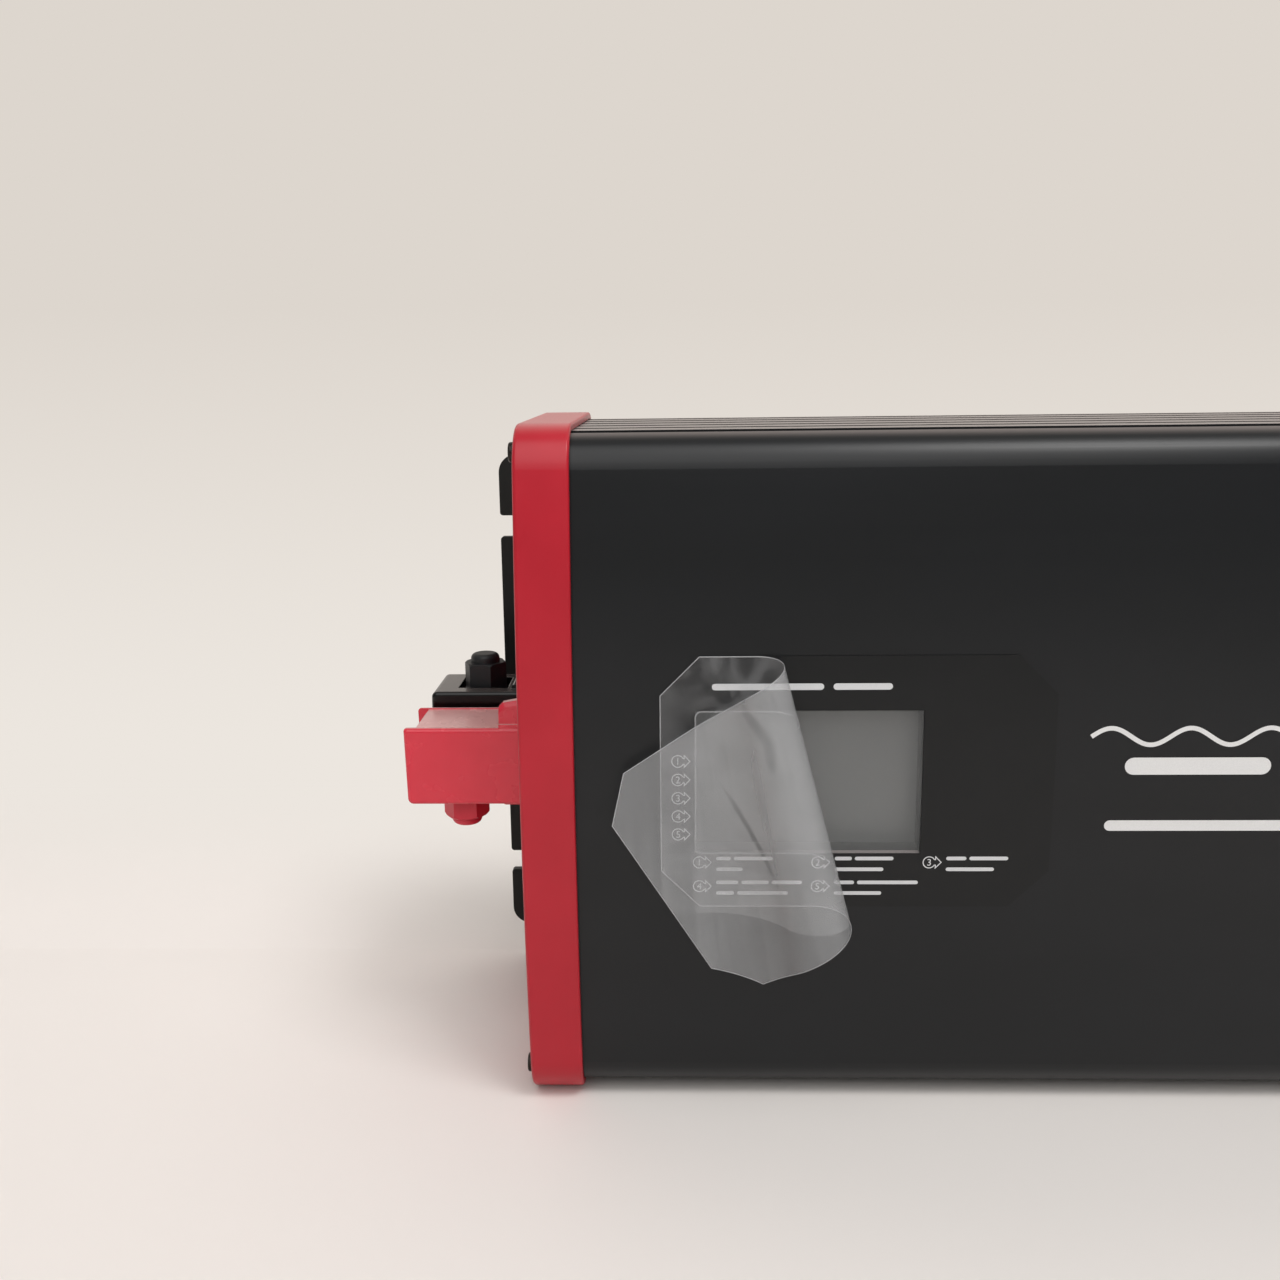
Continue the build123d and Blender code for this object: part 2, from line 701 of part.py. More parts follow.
def fan_screws(spot):
    """Four long screws through guard and cap into the frame's corners."""
    screw = pan_screw(cap_screw_head_r, cap_screw_head_h, cap_screw_r, 2 * wire_r + cap_wall + 10)
    half = fan_hole_pitch / 2
    corners = [(spot[0] + dy * half, spot[1] + dz * half) for dy in (-1, 1) for dz in (-1, 1)]
    return [Pos(-2 * wire_r, y, z) * Rot(0, 90, 0) * screw for y, z in corners]


def fan_lead(spot):
    """Flat pair of fan leads, from the frame's corner down to the main board."""
    y = spot[0] + fan_size / 2 - 4
    x = cap_wall + fan_t
    end_x = board_x[0] + 8
    route = [(x, y, spot[1]), (end_x, y, spot[1]), (end_x, board_y, spot[1])]
    return [Pos(0, 0, dz) * tube(route, 5, wire_r) for dz in (-1.1, 1.1)]


# Display


def skin(outside, inside, x):
    """The case's wall between two insets, along a pair of X limits."""
    return prism(section(outside) - section(inside), x[0], x[1] - x[0])


def display_label():
    """Octagonal overlay on the arched front, cut out for the window."""
    label = flat_front(label_x, label_z, -1, mid_y)
    label &= skin(cap_lip - label_t, cap_lip, (label_x[0] - 1, label_x[1] + 1))
    return label - block(window_x, (-1, mid_y), window_z)


def display_window():
    """Clear lens that fills the window from the label's face to the shell's inner face."""
    x = (window_x[0] + fit_gap, window_x[1] - fit_gap)
    z = (window_z[0] + fit_gap, window_z[1] - fit_gap)
    return block(x, (-1, mid_y), z) & skin(cap_lip - label_t, inside_low, window_x)


def window_grown(by, y):
    """A block over the window's outline, grown by a margin all round."""
    x = (window_x[0] - by, window_x[1] + by)
    z = (window_z[0] - by, window_z[1] + by)
    return block(x, y, z)


def panel_y():
    """Depth of the display panel's face."""
    return cap_lip - label_t + panel_depth


def display_frame():
    """Dark rectangular tunnel between the window and the panel."""
    outer = window_grown(frame_gap + frame_wall, (inside_low + 0.6, panel_y()))
    return outer - window_grown(frame_gap, (0, mid_y))


def display_panel():
    """Liquid crystal panel."""
    return window_grown(panel_border, (panel_y(), panel_y() + panel_t))


def display_board_y():
    """Depth of the display board's front face, against the panel's back."""
    return panel_y() + panel_t


def post_spots():
    """The display board's four posts, outside the panel."""
    reach = panel_border + 5
    xs = (window_x[0] - reach, window_x[1] + reach)
    return [(x, z) for x in xs for z in (window_z[0] - 2, window_z[1] + 2)]


def display_board():
    """Circuit board behind the panel, with two chips and the ribbon's connector."""
    reach = panel_border + 9
    x = (window_x[0] - reach, window_x[1] + reach)
    z = (window_z[0] - 6, window_z[1] + 6)
    y = display_board_y()
    back = y + board_t
    board = block(x, (y, back), z)
    for post_x, post_z in post_spots():
        board -= rod_y(post_x, y - 1, post_z, 1.6, board_t + 2)
    for chip_x in (window_x[0] + 16, window_x[0] + 38):
        board += block(around(chip_x, 12), (back - 0.3, back + 2), around(window_mid_z, 12))
    plug = (around(ribbon_x(), 6), (back - 0.3, back + 4), around(window_mid_z, ribbon_width + 2))
    return board + block(*plug)


def display_posts():
    """Threaded posts between the shell's front wall and the display board, each with its screw."""
    posts = []
    for x, z in post_spots():
        start = inside_low + 0.7
        y = display_board_y()
        post = rod_y(x, start, z, post_r, y - start)
        post += rod_y(x, y - 1, z, 1.5, board_t + 2)
        posts.append(post + rod_y(x, y + board_t, z, 2.8, 2))
    return posts


def ribbon_x():
    """Where the ribbon leaves the display board."""
    return window_x[1] - 8


def ribbon_cable():
    """Flat cable from the display board to the control board's plug."""
    start = display_board_y() + board_t + 4
    run_y = board_y - 64.8
    end_x = card_x - 3.2
    points = [(ribbon_x(), start), (ribbon_x(), run_y), (end_x, run_y + 6), (end_x, board_y - 18.8)]
    line = FilletPolyline(*points, radius=ribbon_bend_r)
    face = trace(line, 1.0)
    return Pos(0, 0, window_mid_z - ribbon_width / 2) * extrude(face, amount=ribbon_width)


# AC end, drawn with x = 0 at the cap's outer face and +X outwards


def ac_socket():
    """Moulded socket: a proud rounded face with a shallow well and three apertures."""
    face = prism(RectangleRounded(socket_face, socket_face, socket_corner_r), 0, socket_proud)
    face = fillet(face.edges().group_by(Axis.X)[-1], 1.0)
    body = face + block((-socket_depth, 1), around(0, socket_body), around(0, socket_body))
    body -= rod_x(socket_proud - socket_well, 0, 0, socket_face / 2 - 4, 5)
    for y, z in aperture_spots():
        body -= block((-socket_face_t, 5), around(y, aperture[0]), around(z, aperture[1]))
        cavity = (around(y, aperture[0] + contact_room), around(z, aperture[1] + contact_room))
        body -= block((-socket_depth - 1, -socket_face_t), *cavity)
    return body


def aperture_spots():
    """Live, neutral and earth positions about the socket's centre, along Y and Z."""
    half = pin_spacing / 2
    return [(pin_row_y, -half), (pin_row_y, half), (earth_row_y, 0)]


def socket_contact(y, z):
    """Brass fork with two leaves and a tail, seated in its cavity."""
    wide = aperture[0] + contact_room - 2 * fit_gap
    gap = aperture[1] + contact_room - 2 * fit_gap
    start = -socket_depth
    fork = block((start, -4.5), around(y, wide), around(z, gap))
    fork -= block((start + contact_t, 0), around(y, wide + 2), around(z, gap - 2 * contact_t))
    return fork + block((start - tail_length, start + 0.4), around(y, 5), around(z, contact_t))


def brass_contacts():
    """Six socket contacts and the switch's two tabs."""
    pieces = []
    for z in socket_z:
        pieces += [Pos(body_length, axis_y, z) * socket_contact(*spot) for spot in aperture_spots()]
    for y in around(axis_y, tab_pitch):
        x = (body_length - switch_depth - tab_length, body_length - switch_depth)
        pieces.append(block(x, around(y, 0.8), around(switch_z, 6.3)))
    return pieces


def switch_housing():
    """Bezel and box with a cavity for the rocker and two pivot holes."""
    bezel = prism(RectangleRounded(*switch_bezel, 2), 0, 2)
    bezel = fillet(bezel.edges().group_by(Axis.X)[-1], 0.9)
    box = bezel + block((-switch_depth, 1), around(0, switch_body[0]), around(0, switch_body[1]))
    box -= block((-13, 5), around(0, switch_opening[0]), around(0, switch_opening[1]))
    pin = rocker_width / 2 + 1.2
    hole = Cylinder(rocker_pin_r + bearing_gap, 2 * pin + 0.4)
    return box - Pos(rocker_pivot_x, 0, 0) * hole


def switch_rocker():
    """Two-faced rocker on its pins, tipped to the off side."""
    top = 4.2
    low = -7.5
    points = [(top, -14), (1.4, 0), (top, 14), (-3, 14), (low, 0), (-3, -14), (top, -14)]
    profile = make_face(Polyline(*points))
    profile = profile & Circle(rocker_end_r)
    rocker = extrude(profile, amount=rocker_width / 2, both=True)
    rocker = fillet(rocker.edges().filter_by(Axis.Z).group_by(Axis.X)[-1], 0.7)
    pin = rocker_width / 2 + 1.1
    rocker += Cylinder(rocker_pin_r, 2 * pin)
    return Rot(0, 0, rocker_tilt) * rocker


def usb_shell():
    """Folded steel shell of the USB socket."""
    wide, high = usb_size
    shell = block((-14, 0.5), around(0, wide), around(0, high))
    inner = (around(0, wide - 2 * usb_wall), around(0, high - 2 * usb_wall))
    return shell - block((-13.6, 1), *inner)


def usb_tongue():
    """Plastic tongue that carries the contacts, held in the shell's back."""
    wide, high = (size - 2 * usb_wall - 0.1 for size in usb_size)
    back = block((-13.5, -10), around(0, wide), around(0, high))
    return back + block((-11, -1), around(0, wide - 1), (-high / 2 + 0.5, -high / 2 + 2.3))


def remote_jack():
    """Six-way modular jack with a stepped mouth."""
    jack = block((-15, 0.8), around(0, jack_size[0]), around(0, jack_size[1]))
    jack -= block((-12, 2), around(0, jack_mouth[0]), around(0.6, jack_mouth[1]))
    return jack - block((-8, 2), around(0, 6.2), (-5.2, 0))


def indicator_light():
    """Five-millimetre light with its rim behind the cap and a domed end."""
    lens = rod_x(-cap_wall - 4, 0, 0, light_r, cap_wall + 4) + Sphere(light_r)
    return lens + rod_x(-cap_wall - 2, 0, 0, light_r + 0.6, 2)


def earth_stud():
    """Earth bolt, its head inside the cap."""
    head_h = 3.5
    head = extrude(RegularPolygon(earth_flats / 2, 6, major_radius=False), head_h)
    stud = Pos(-cap_wall - head_h, 0, 0) * Rot(0, 90, 0) * head
    return stud + rod_x(-cap_wall - 1, 0, 0, earth_stud_r, cap_wall + 1 + earth_reach)


def earth_nuts():
    """A serrated washer and two nuts on the earth bolt."""
    nut = extrude(RegularPolygon(earth_flats / 2, 6, major_radius=False), 4)
    nut -= Cylinder(earth_stud_r + thread_gap, 10)
    washer = Cylinder(5, 1, align=centre) - Cylinder(earth_stud_r + thread_gap, 10)
    stack = [washer, Pos(0, 0, 1) * nut, Pos(0, 0, 5.2) * Rot(0, 0, 18) * nut]
    return [Pos(body_length, earth_y, port_row_z) * Rot(0, 90, 0) * piece for piece in stack]


# Inside


def standoff_spots():
    """The main board's screws, along X and Z."""
    inset_x, inset_z = standoff_inset
    xs = (board_x[0] + inset_x, sum(board_x) / 2, board_x[1] - inset_x)
    zs = around(mid_z, body_height - 2 * (board_margin + inset_z))
    return [(x, z) for x in xs for z in zs]


def main_board():
    """Main circuit board, standing parallel to the base plate."""
    board = block(board_x, (board_y, board_y + board_t), (board_margin, body_height - board_margin))
    for x, z in standoff_spots():
        board -= rod_y(x, board_y - 1, z, board_hole_r, board_t + 2)
    return board


def board_standoffs():
    """Hexagon spacers for the board, each with a stub that fills its hole in the base plate."""
    spacer = extrude(RegularPolygon(standoff_r, 6, major_radius=False), standoff_h)
    spacer += Pos(0, 0, -plate_t) * Cylinder(board_hole_r - thread_gap, plate_t, align=centre)
    spacer -= Pos(0, 0, 2) * Cylinder(board_hole_r - fit_gap + thread_gap, standoff_h, align=centre)
    return [Pos(x, plate_y, z) * Rot(90, 0, 0) * spacer for x, z in standoff_spots()]


def board_screws():
    """Screws through the main board into the spacers."""
    screw = pan_screw(2.8, 1.8, board_hole_r - fit_gap, board_t + 5)
    return [Pos(x, board_y, z) * Rot(-90, 0, 0) * screw for x, z in standoff_spots()]


def transformer_spots():
    """Centres of the four transformers, along X and Z."""
    return [(x, z) for x in (near_core_x, far_core_x) for z in around(mid_z, core_pitch)]


def transformer_y():
    """Front and back of the transformers' cores."""
    back = board_y - core_lift
    return back - core_size[1], back


def transformer_core(x, z):
    """Ferrite core: an outer frame about a middle limb."""
    wide, _, high = core_size
    front, back = transformer_y()
    core = block(around(x, wide), (front, back), around(z, high))
    for middle in around(z, core_limb + core_window):
        hole = (around(x, wide + 2), (front + core_yoke, back - core_yoke), around(middle, core_window))
        core -= block(*hole)
    return core


def transformer_winding(x, z):
    """Taped winding round the middle limb, on its bobbin, with the bobbin's feet on the board."""
    front, back = transformer_y()
    y = (front + core_yoke + fit_gap, back - core_yoke - fit_gap)
    coil = block(around(x, winding_length), y, around(z, core_limb + 2 * (core_window - seat_gap)))
    limb = (around(x, core_size[0] + 2 * fit_gap), (0, body_depth), around(z, core_limb + 2 * fit_gap))
    coil -= block(*limb)
    coil = fillet(coil.edges().filter_by(Axis.Y).group_by(Axis.X)[-1], 4)
    for foot in around(x, winding_length - 10):
        coil += block(around(foot, 5), (y[1] - 1, board_y), around(z, 30))
    return coil


def capacitor(x, z, r, height):
    """Electrolytic capacitor standing on the board, grooved near its foot."""
    can = rod_y(x, board_y - height, z, r, height)
    can = fillet(can.edges().group_by(Axis.Y)[0], 1.0)
    return can - Pos(x, board_y - 4, z) * Rot(-90, 0, 0) * Torus(r + 0.4, 1.0)


def clamp_face():
    """Height of the lower clamp strip's inner face above the unit's underside."""
    return inside_low + heat_sink_t + transistor_size[2] + clamp_t


def input_capacitors():
    """Low-voltage capacitors in two columns, on either side of the bus bars."""
    outermost = mid_z - clamp_face() - input_can_gap - input_can[0]
    offsets = [outermost - input_can_pitch * k for k in range(3)]
    columns = around(input_x, input_can_pitch)
    spots = [(x, mid_z + side * dz) for x in columns for side in (-1, 1) for dz in offsets]
    return [capacitor(x, z, *input_can) for x, z in spots]


def bus_capacitors():
    """Three high-voltage capacitors in a column."""
    return [capacitor(bus_can_x, mid_z + k * bus_can_pitch, *bus_can) for k in (-1, 0, 1)]


def choke_spots():
    """Centres of the two output chokes, along X and Z."""
    return [(choke_x, z) for z in around(mid_z, choke_pitch)]


def choke_y():
    """Depth of the ring core's front face, its winding resting on the board."""
    return board_y - seat_gap - winding_t - choke_t


def choke_core(x, z):
    """Ring core lying flat over the board."""
    y = choke_y()
    return rod_y(x, y, z, choke_r, choke_t) - rod_y(x, y - 1, z, choke_bore_r, choke_t + 2)


def choke_windings(x, z):
    """Two half windings on the ring core."""
    y = choke_y()
    high = choke_t + 2 * winding_t
    jacket = rod_y(x, y - winding_t, z, choke_r + winding_t, high)
    jacket -= rod_y(x, y - winding_t - 1, z, choke_bore_r - winding_t, high + 2)
    core = rod_y(x, y - fit_gap, z, choke_r + fit_gap, choke_t + 2 * fit_gap)
    jacket -= core - rod_y(x, y - 1, z, choke_bore_r - fit_gap, choke_t + 2)
    jacket -= block(around(x, 16), (0, body_depth), around(z, 4 * choke_r))
    return jacket.solids()


def heat_sinks():
    """Aluminium bars against the narrow sides of the shell."""
    low = block(heat_sink_x, heat_sink_y, (inside_low, inside_low + heat_sink_t))
    high = block(heat_sink_x, heat_sink_y, (inside_high - heat_sink_t, inside_high))
    return [low, high]


def transistor_spots():
    """Transistors along X, and the heat sink face and direction that each one has."""
    start, end = heat_sink_x[0] + transistor_margin, heat_sink_x[1] - transistor_margin
    xs = [start + k * (end - start) / (transistor_count - 1) for k in range(transistor_count)]
    faces = ((inside_low + heat_sink_t, 1), (inside_high - heat_sink_t, -1))
    return [(x, *face) for face in faces for x in xs]


def power_transistors():
    """Flat packages on the heat sinks, three legs each into the board."""
    pieces = []
    wide, high, thick = transistor_size
    front = heat_sink_y[0] + 4
    for x, z, way in transistor_spots():
        case = block(around(x, wide), (front, front + high), sorted((z, z + way * thick)))
        leg_z = sorted((z + way * 2, z + way * 2.6))
        for dx in (-leg_pitch, 0, leg_pitch):
            case += block(around(x + dx, 1.2), (front + high - 1, board_y), leg_z)
        pieces.append(case)
    return pieces


def transistor_clamps():
    """Spring steel strips that press the transistors on the heat sinks."""
    low = (clamp_face() - clamp_t, clamp_face())
    high = (body_height - low[1], body_height - low[0])
    return [block(heat_sink_x, clamp_y, z) for z in (low, high)]


def input_fuses():
    """Blade fuses standing on the board between capacitors and transformers."""
    pieces = []
    wide, deep, high = fuse_size
    blade_t, blade_width = fuse_blade
    lift = 8.0
    for k in range(fuse_count):
        z = mid_z + (k - (fuse_count - 1) / 2) * fuse_pitch
        body = block(around(fuse_x, wide), (board_y - lift - deep, board_y - lift), around(z, high))
        for blade_z in around(z, high - 6):
            blade = (around(fuse_x, blade_t), (board_y - lift - 1, board_y), around(blade_z, blade_width))
            body += block(*blade)
        pieces.append(body)
    return pieces


def control_board():
    """Upright control card in its pin row, with two chips and the ribbon's plug."""
    x = card_x
    back = x + board_t
    card = block((x, back), (board_y - 44.8, board_y - 6), around(mid_z, card_height))
    card += block((x - 1, back + 1), (board_y - 7, board_y), around(mid_z, card_height - 10))
    for dz in (-20, 14):
        card += block((back - 0.3, back + 2), around(board_y - 19.8, 12), around(mid_z + dz, 14))
    plug_z = around(window_mid_z, ribbon_width + 4)
    card += block((x - card_plug, x + 0.3), (board_y - 22.8, board_y - 12.8), plug_z)
    slot_z = around(window_mid_z, ribbon_width + 0.6)
    return card - block((x - 4.2, x - 2.2), (board_y - 24.8, board_y - 18.2), slot_z)


def ac_wires():
    """Insulated wires from the sockets' and switch's tabs to the main board."""
    tails = []
    tail_x = body_length - socket_depth - tail_length
    for z in socket_z:
        tails += [(tail_x, axis_y + y, z + dz) for y, dz in aperture_spots()]
    for y in around(axis_y, tab_pitch):
        tails.append((body_length - switch_depth - tab_length, y, switch_z))
    wires = []
    for k, (x, y, z) in enumerate(tails):
        drop_x = board_x[1] - 6 - wire_pitch * (k % 4)
        wires.append(tube([(x, y, z), (drop_x, y, z), (drop_x, board_y, z)], 4, ac_wire_r))
    return wires


# Protective film


def film_span(angle):
    """Distances from the apex at which a line at this angle enters and leaves the label's outline."""
    along = Vector(sin(radians(angle)), -cos(radians(angle)))
    (x0, x1), (z0, z1) = label_x, label_z
    middle = Vector((x0 + x1) / 2, (z0 + z1) / 2)
    half_x, half_z = (x1 - x0) / 2, (z1 - z0) / 2
    entry, leave = 0.0, 1000.0
    for k in range(8):
        out = Vector(cos(radians(45 * k)), sin(radians(45 * k)))
        reach = (half_x, (half_x + half_z - label_chamfer) / sqrt(2), half_z)[(0, 1, 2, 1)[k % 4]]
        reach -= (Vector(*film_apex) - middle).dot(out)
        slope = along.dot(out)
        if slope < 0:
            entry = max(entry, reach / slope)
        elif slope > 0:
            leave = min(leave, reach / slope)
    return entry, leave


def film_lines():
    """The rolled film's straight lines in order: angle in the flat sheet, direction and normal."""
    fold = radians(film_fold)
    ray, side = Vector(sin(fold), 0, -cos(fold)), Vector(cos(fold), 0, sin(fold))
    angle = film_fold
    lines = [(angle, ray, ray.cross(side))]
    last = max(corner_angle(*corner) for corner in label_corners())
    zones = (
        (film_roll_angle, film_roll_curve, film_roll_count),
        (film_unroll_angle, film_unroll_curve, film_unroll_count),
        (last - film_fold - film_roll_angle - film_unroll_angle, 0.0, 3),
    )
    for arc, curvature, steps in zones:
        axis = Axis((0, 0, 0), ray * curvature + ray.cross(side))
        turn = arc / steps * sqrt(1 + curvature**2)
        for _ in range(steps):
            ray, side = ray.rotate(axis, turn), side.rotate(axis, turn)
            angle += arc / steps
            lines.append((angle, ray, ray.cross(side)))
    return lines


def label_corners():
    """Corners of the label's right half."""
    (_, x1), (z0, z1) = label_x, label_z
    c = label_chamfer
    return [(x1 - c, z1), (x1, z1 - c), (x1, z0 + c), (x1 - c, z0)]


def corner_angle(x, z):
    """Angle of the line from the apex to a point of the flat sheet, from straight down."""
    return degrees(atan2(x - film_apex[0], film_apex[1] - z))


def film_roll_solid():
    """The film's right part, rolled outwards into a cone and lying back over the left part."""
    apex = Vector(film_apex[0], cap_lip - label_t, film_apex[1])
    strips = []
    for angle, ray, out in film_lines():
        entry, leave = film_span(angle)
        leave = max(leave, entry + 0.5)
        ends = [apex + ray * entry, apex + ray * leave]
        strips.append([*ends, ends[1] + out * film_t, ends[0] + out * film_t])
    faces = [Face(Wire.make_polygon(strips[0])), Face(Wire.make_polygon(strips[-1]))]
    for here, after in zip(strips, strips[1:]):
        for k in range(4):
            n = (k + 1) % 4
            faces.append(Face(Wire.make_polygon([here[k], here[n], after[n]])))
            faces.append(Face(Wire.make_polygon([here[k], after[n], after[k]])))
    return Solid(Shell(faces))


def protective_film():
    """Film still flat on the label's left part, its right part rolled over and lying back."""
    flat = flat_front(label_x, label_z, -1, mid_y)
    flat &= skin(cap_lip - label_t - film_t, cap_lip - label_t, (label_x[0] - 1, label_x[1] + 1))
    tilt = Pos(film_apex[0], 0, film_apex[1]) * Rot(0, -film_fold - 0.3, 0)
    left = Box(body_length, body_length, 4 * body_height, align=(Align.MAX, Align.CENTER, Align.CENTER))
    flat &= tilt * left
    return flat + film_roll_solid()


def build():
    """Every node by name, each as a list of solids, in the case's own coordinates."""
    ac = {z: Pos(body_length, axis_y, z) for z in (*socket_z, switch_z)}
    return {
        "case_shell": [case_shell()],
        "base_plate": [base_plate()],
        "base_plate_screws": base_plate_screws(),
        "dc_end_cap": [dc_end_cap()],
        "ac_end_cap": [ac_end_cap()],
        "end_cap_screws": end_cap_screws(),
        "end_cap_washers": end_cap_washers(),
        "positive_terminal_housing": [at_positive(terminal_housing(positive_reach))],
        "negative_terminal_housing": [at_negative(terminal_housing(negative_reach))],
        "positive_bus_bar": [bus_bar(positive_reach, positive_leg_x, positive_y)],
        "negative_bus_bar": [bus_bar(negative_reach, negative_leg_x, negative_y)],
        "terminal_studs": [
            at_positive(terminal_stud(positive_reach)),
            at_negative(terminal_stud(negative_reach)),
        ],
        "terminal_washers": [at_positive(ring) for ring in terminal_washers(positive_reach)]
        + [at_negative(ring) for ring in terminal_washers(negative_reach)],
        "positive_cap_nut": [at_positive(cap_nut(positive_reach, positive_nut_turn))],
        "negative_cap_nut": [at_negative(cap_nut(negative_reach, negative_nut_turn))],
        "upper_fan_frame": [at_fan(fan_frame(), fan_spots[0])],
        "lower_fan_frame": [at_fan(fan_frame(), fan_spots[1])],
        "upper_fan_rotor": [at_fan(fan_rotor(), fan_spots[0])],
        "lower_fan_rotor": [at_fan(fan_rotor(), fan_spots[1])],
        "fan_bearings": [at_fan(fan_bearing(), spot) for spot in fan_spots],
        "upper_finger_guard": [Pos(0, *fan_spots[0]) * finger_guard()],
        "lower_finger_guard": [Pos(0, *fan_spots[1]) * finger_guard()],
        "fan_screws": fan_screws(fan_spots[0]) + fan_screws(fan_spots[1]),
        "fan_leads": fan_lead(fan_spots[0]) + fan_lead(fan_spots[1]),
        "display_label": [display_label()],
        "display_window": [display_window()],
        "protective_film": [protective_film()],
        "display_frame": [display_frame()],
        "display_panel": [display_panel()],
        "display_board": [display_board()],
        "display_posts": display_posts(),
        "ribbon_cable": [ribbon_cable()],
        "upper_ac_socket": [ac[socket_z[0]] * ac_socket()],
        "lower_ac_socket": [ac[socket_z[1]] * ac_socket()],
        "brass_contacts": brass_contacts(),
        "switch_housing": [ac[switch_z] * switch_housing()],
        "switch_rocker": [ac[switch_z] * Pos(rocker_pivot_x, 0, 0) * switch_rocker()],
        "usb_shell": [Pos(body_length, usb_y, port_row_z) * usb_shell()],
        "usb_tongue": [Pos(body_length, usb_y, port_row_z) * usb_tongue()],
        "remote_jack": [Pos(body_length, jack_y, port_row_z) * remote_jack()],
        "power_light": [Pos(body_length, light_y, light_z[1]) * indicator_light()],
        "fault_light": [Pos(body_length, light_y, light_z[0]) * indicator_light()],
        "earth_stud": [Pos(body_length, earth_y, port_row_z) * earth_stud()],
        "earth_nuts": earth_nuts(),
        "main_board": [main_board()],
        "board_standoffs": board_standoffs(),
        "board_screws": board_screws(),
        "transformer_cores": [transformer_core(*spot) for spot in transformer_spots()],
        "transformer_windings": [transformer_winding(*spot) for spot in transformer_spots()],
        "input_capacitors": input_capacitors(),
        "bus_capacitors": bus_capacitors(),
        "choke_cores": [choke_core(*spot) for spot in choke_spots()],
        "choke_windings": [half for spot in choke_spots() for half in choke_windings(*spot)],
        "heat_sinks": heat_sinks(),
        "power_transistors": power_transistors(),
        "transistor_clamps": transistor_clamps(),
        "input_fuses": input_fuses(),
        "control_board": [control_board()],
        "ac_wires": ac_wires(),
    }


nodes = build()
x_low = -positive_reach
x_high = body_length + ear_reach
y_low = min(min(part.bounding_box().min.Y for part in nodes["protective_film"]), 0)
home = Pos(-(x_low + x_high) / 2, -(y_low + body_depth) / 2, 0)
os.makedirs("parts", exist_ok=True)
for name, pieces in nodes.items():
    export_step(Compound(children=[home * piece for piece in pieces]), f"parts/{name}.step")
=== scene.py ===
import bpy
import numpy as np
from mathutils import Matrix, Vector
from mathutils.bvhtree import BVHTree


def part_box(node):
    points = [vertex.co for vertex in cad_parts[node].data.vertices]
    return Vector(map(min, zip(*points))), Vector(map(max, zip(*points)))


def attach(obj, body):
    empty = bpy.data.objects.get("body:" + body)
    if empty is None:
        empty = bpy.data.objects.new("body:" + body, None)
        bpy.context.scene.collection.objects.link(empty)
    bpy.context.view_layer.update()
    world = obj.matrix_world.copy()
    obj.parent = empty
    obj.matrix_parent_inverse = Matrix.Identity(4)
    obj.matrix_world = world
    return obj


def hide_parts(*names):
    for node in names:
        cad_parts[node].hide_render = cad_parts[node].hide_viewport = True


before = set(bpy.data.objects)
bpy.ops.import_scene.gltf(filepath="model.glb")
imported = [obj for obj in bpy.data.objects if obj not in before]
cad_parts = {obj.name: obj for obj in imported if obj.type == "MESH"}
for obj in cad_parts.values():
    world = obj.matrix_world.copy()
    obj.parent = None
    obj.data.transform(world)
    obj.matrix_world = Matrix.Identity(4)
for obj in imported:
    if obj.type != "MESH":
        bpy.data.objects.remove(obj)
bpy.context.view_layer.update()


# Case shell
# One aluminium extrusion, anodised black, with shallow grooves along both narrow sides.
# The die leaves fine lines along its length, which soften its sheen in one direction.


def linear(hex_colour, alpha=1.0):
    """sRGB hex to linear RGBA: below 0.04045 a straight line, above it a power of 2.4."""
    rgb = np.array([int(hex_colour[k : k + 2], 16) for k in (1, 3, 5)]) / 255
    rgb = np.where(rgb <= 0.04045, rgb / 12.92, ((rgb + 0.055) / 1.055) ** 2.4)
    return (*rgb.tolist(), alpha)


def add(tree, kind, inputs=(), **settings):
    """Adds a node. Its inputs are values or the sockets that feed them, by name or in order."""
    made = tree.nodes.new("ShaderNode" + kind)
    for name, value in settings.items():
        setattr(made, name, value)
    for name, value in inputs.items() if isinstance(inputs, dict) else enumerate(inputs):
        socket = made.inputs[name]
        if isinstance(value, bpy.types.NodeSocket):
            tree.links.new(value, socket)
        else:
            socket.default_value = value
    return made


def surface(name, **sockets):
    """A new material's tree and its Principled shader, with plain values on its sockets."""
    made = bpy.data.materials.new(name)
    made.use_nodes = True
    tree = made.node_tree
    tree.nodes.clear()
    values = {key.replace("_", " "): value for key, value in sockets.items()}
    shader = add(tree, "BsdfPrincipled", values)
    out = add(tree, "OutputMaterial")
    tree.links.new(shader.outputs["BSDF"], out.inputs["Surface"])
    return made, tree, shader


def grain(tree, size_mm, stretch=(1, 1, 1), detail=3.0):
    """Noise whose grains are size_mm across, stretched along the object's axes."""
    place = add(tree, "TexCoord").outputs["Object"]
    scale = [1000 / size_mm / s for s in stretch]
    place = add(tree, "Mapping", {"Vector": place, "Scale": scale}).outputs["Vector"]
    return add(tree, "TexNoise", {"Vector": place, "Scale": 1.0, "Detail": detail}).outputs["Fac"]


def tint(tree, factor, dark, light):
    """Mixes two hex colours by a noise factor, which lies mostly between 0.3 and 0.7."""
    ramp = add(tree, "ValToRGB", {"Fac": factor})
    for stop, colour, position in zip(ramp.color_ramp.elements, (dark, light), (0.3, 0.7)):
        stop.color, stop.position = linear(colour), position
    return ramp.outputs["Color"]


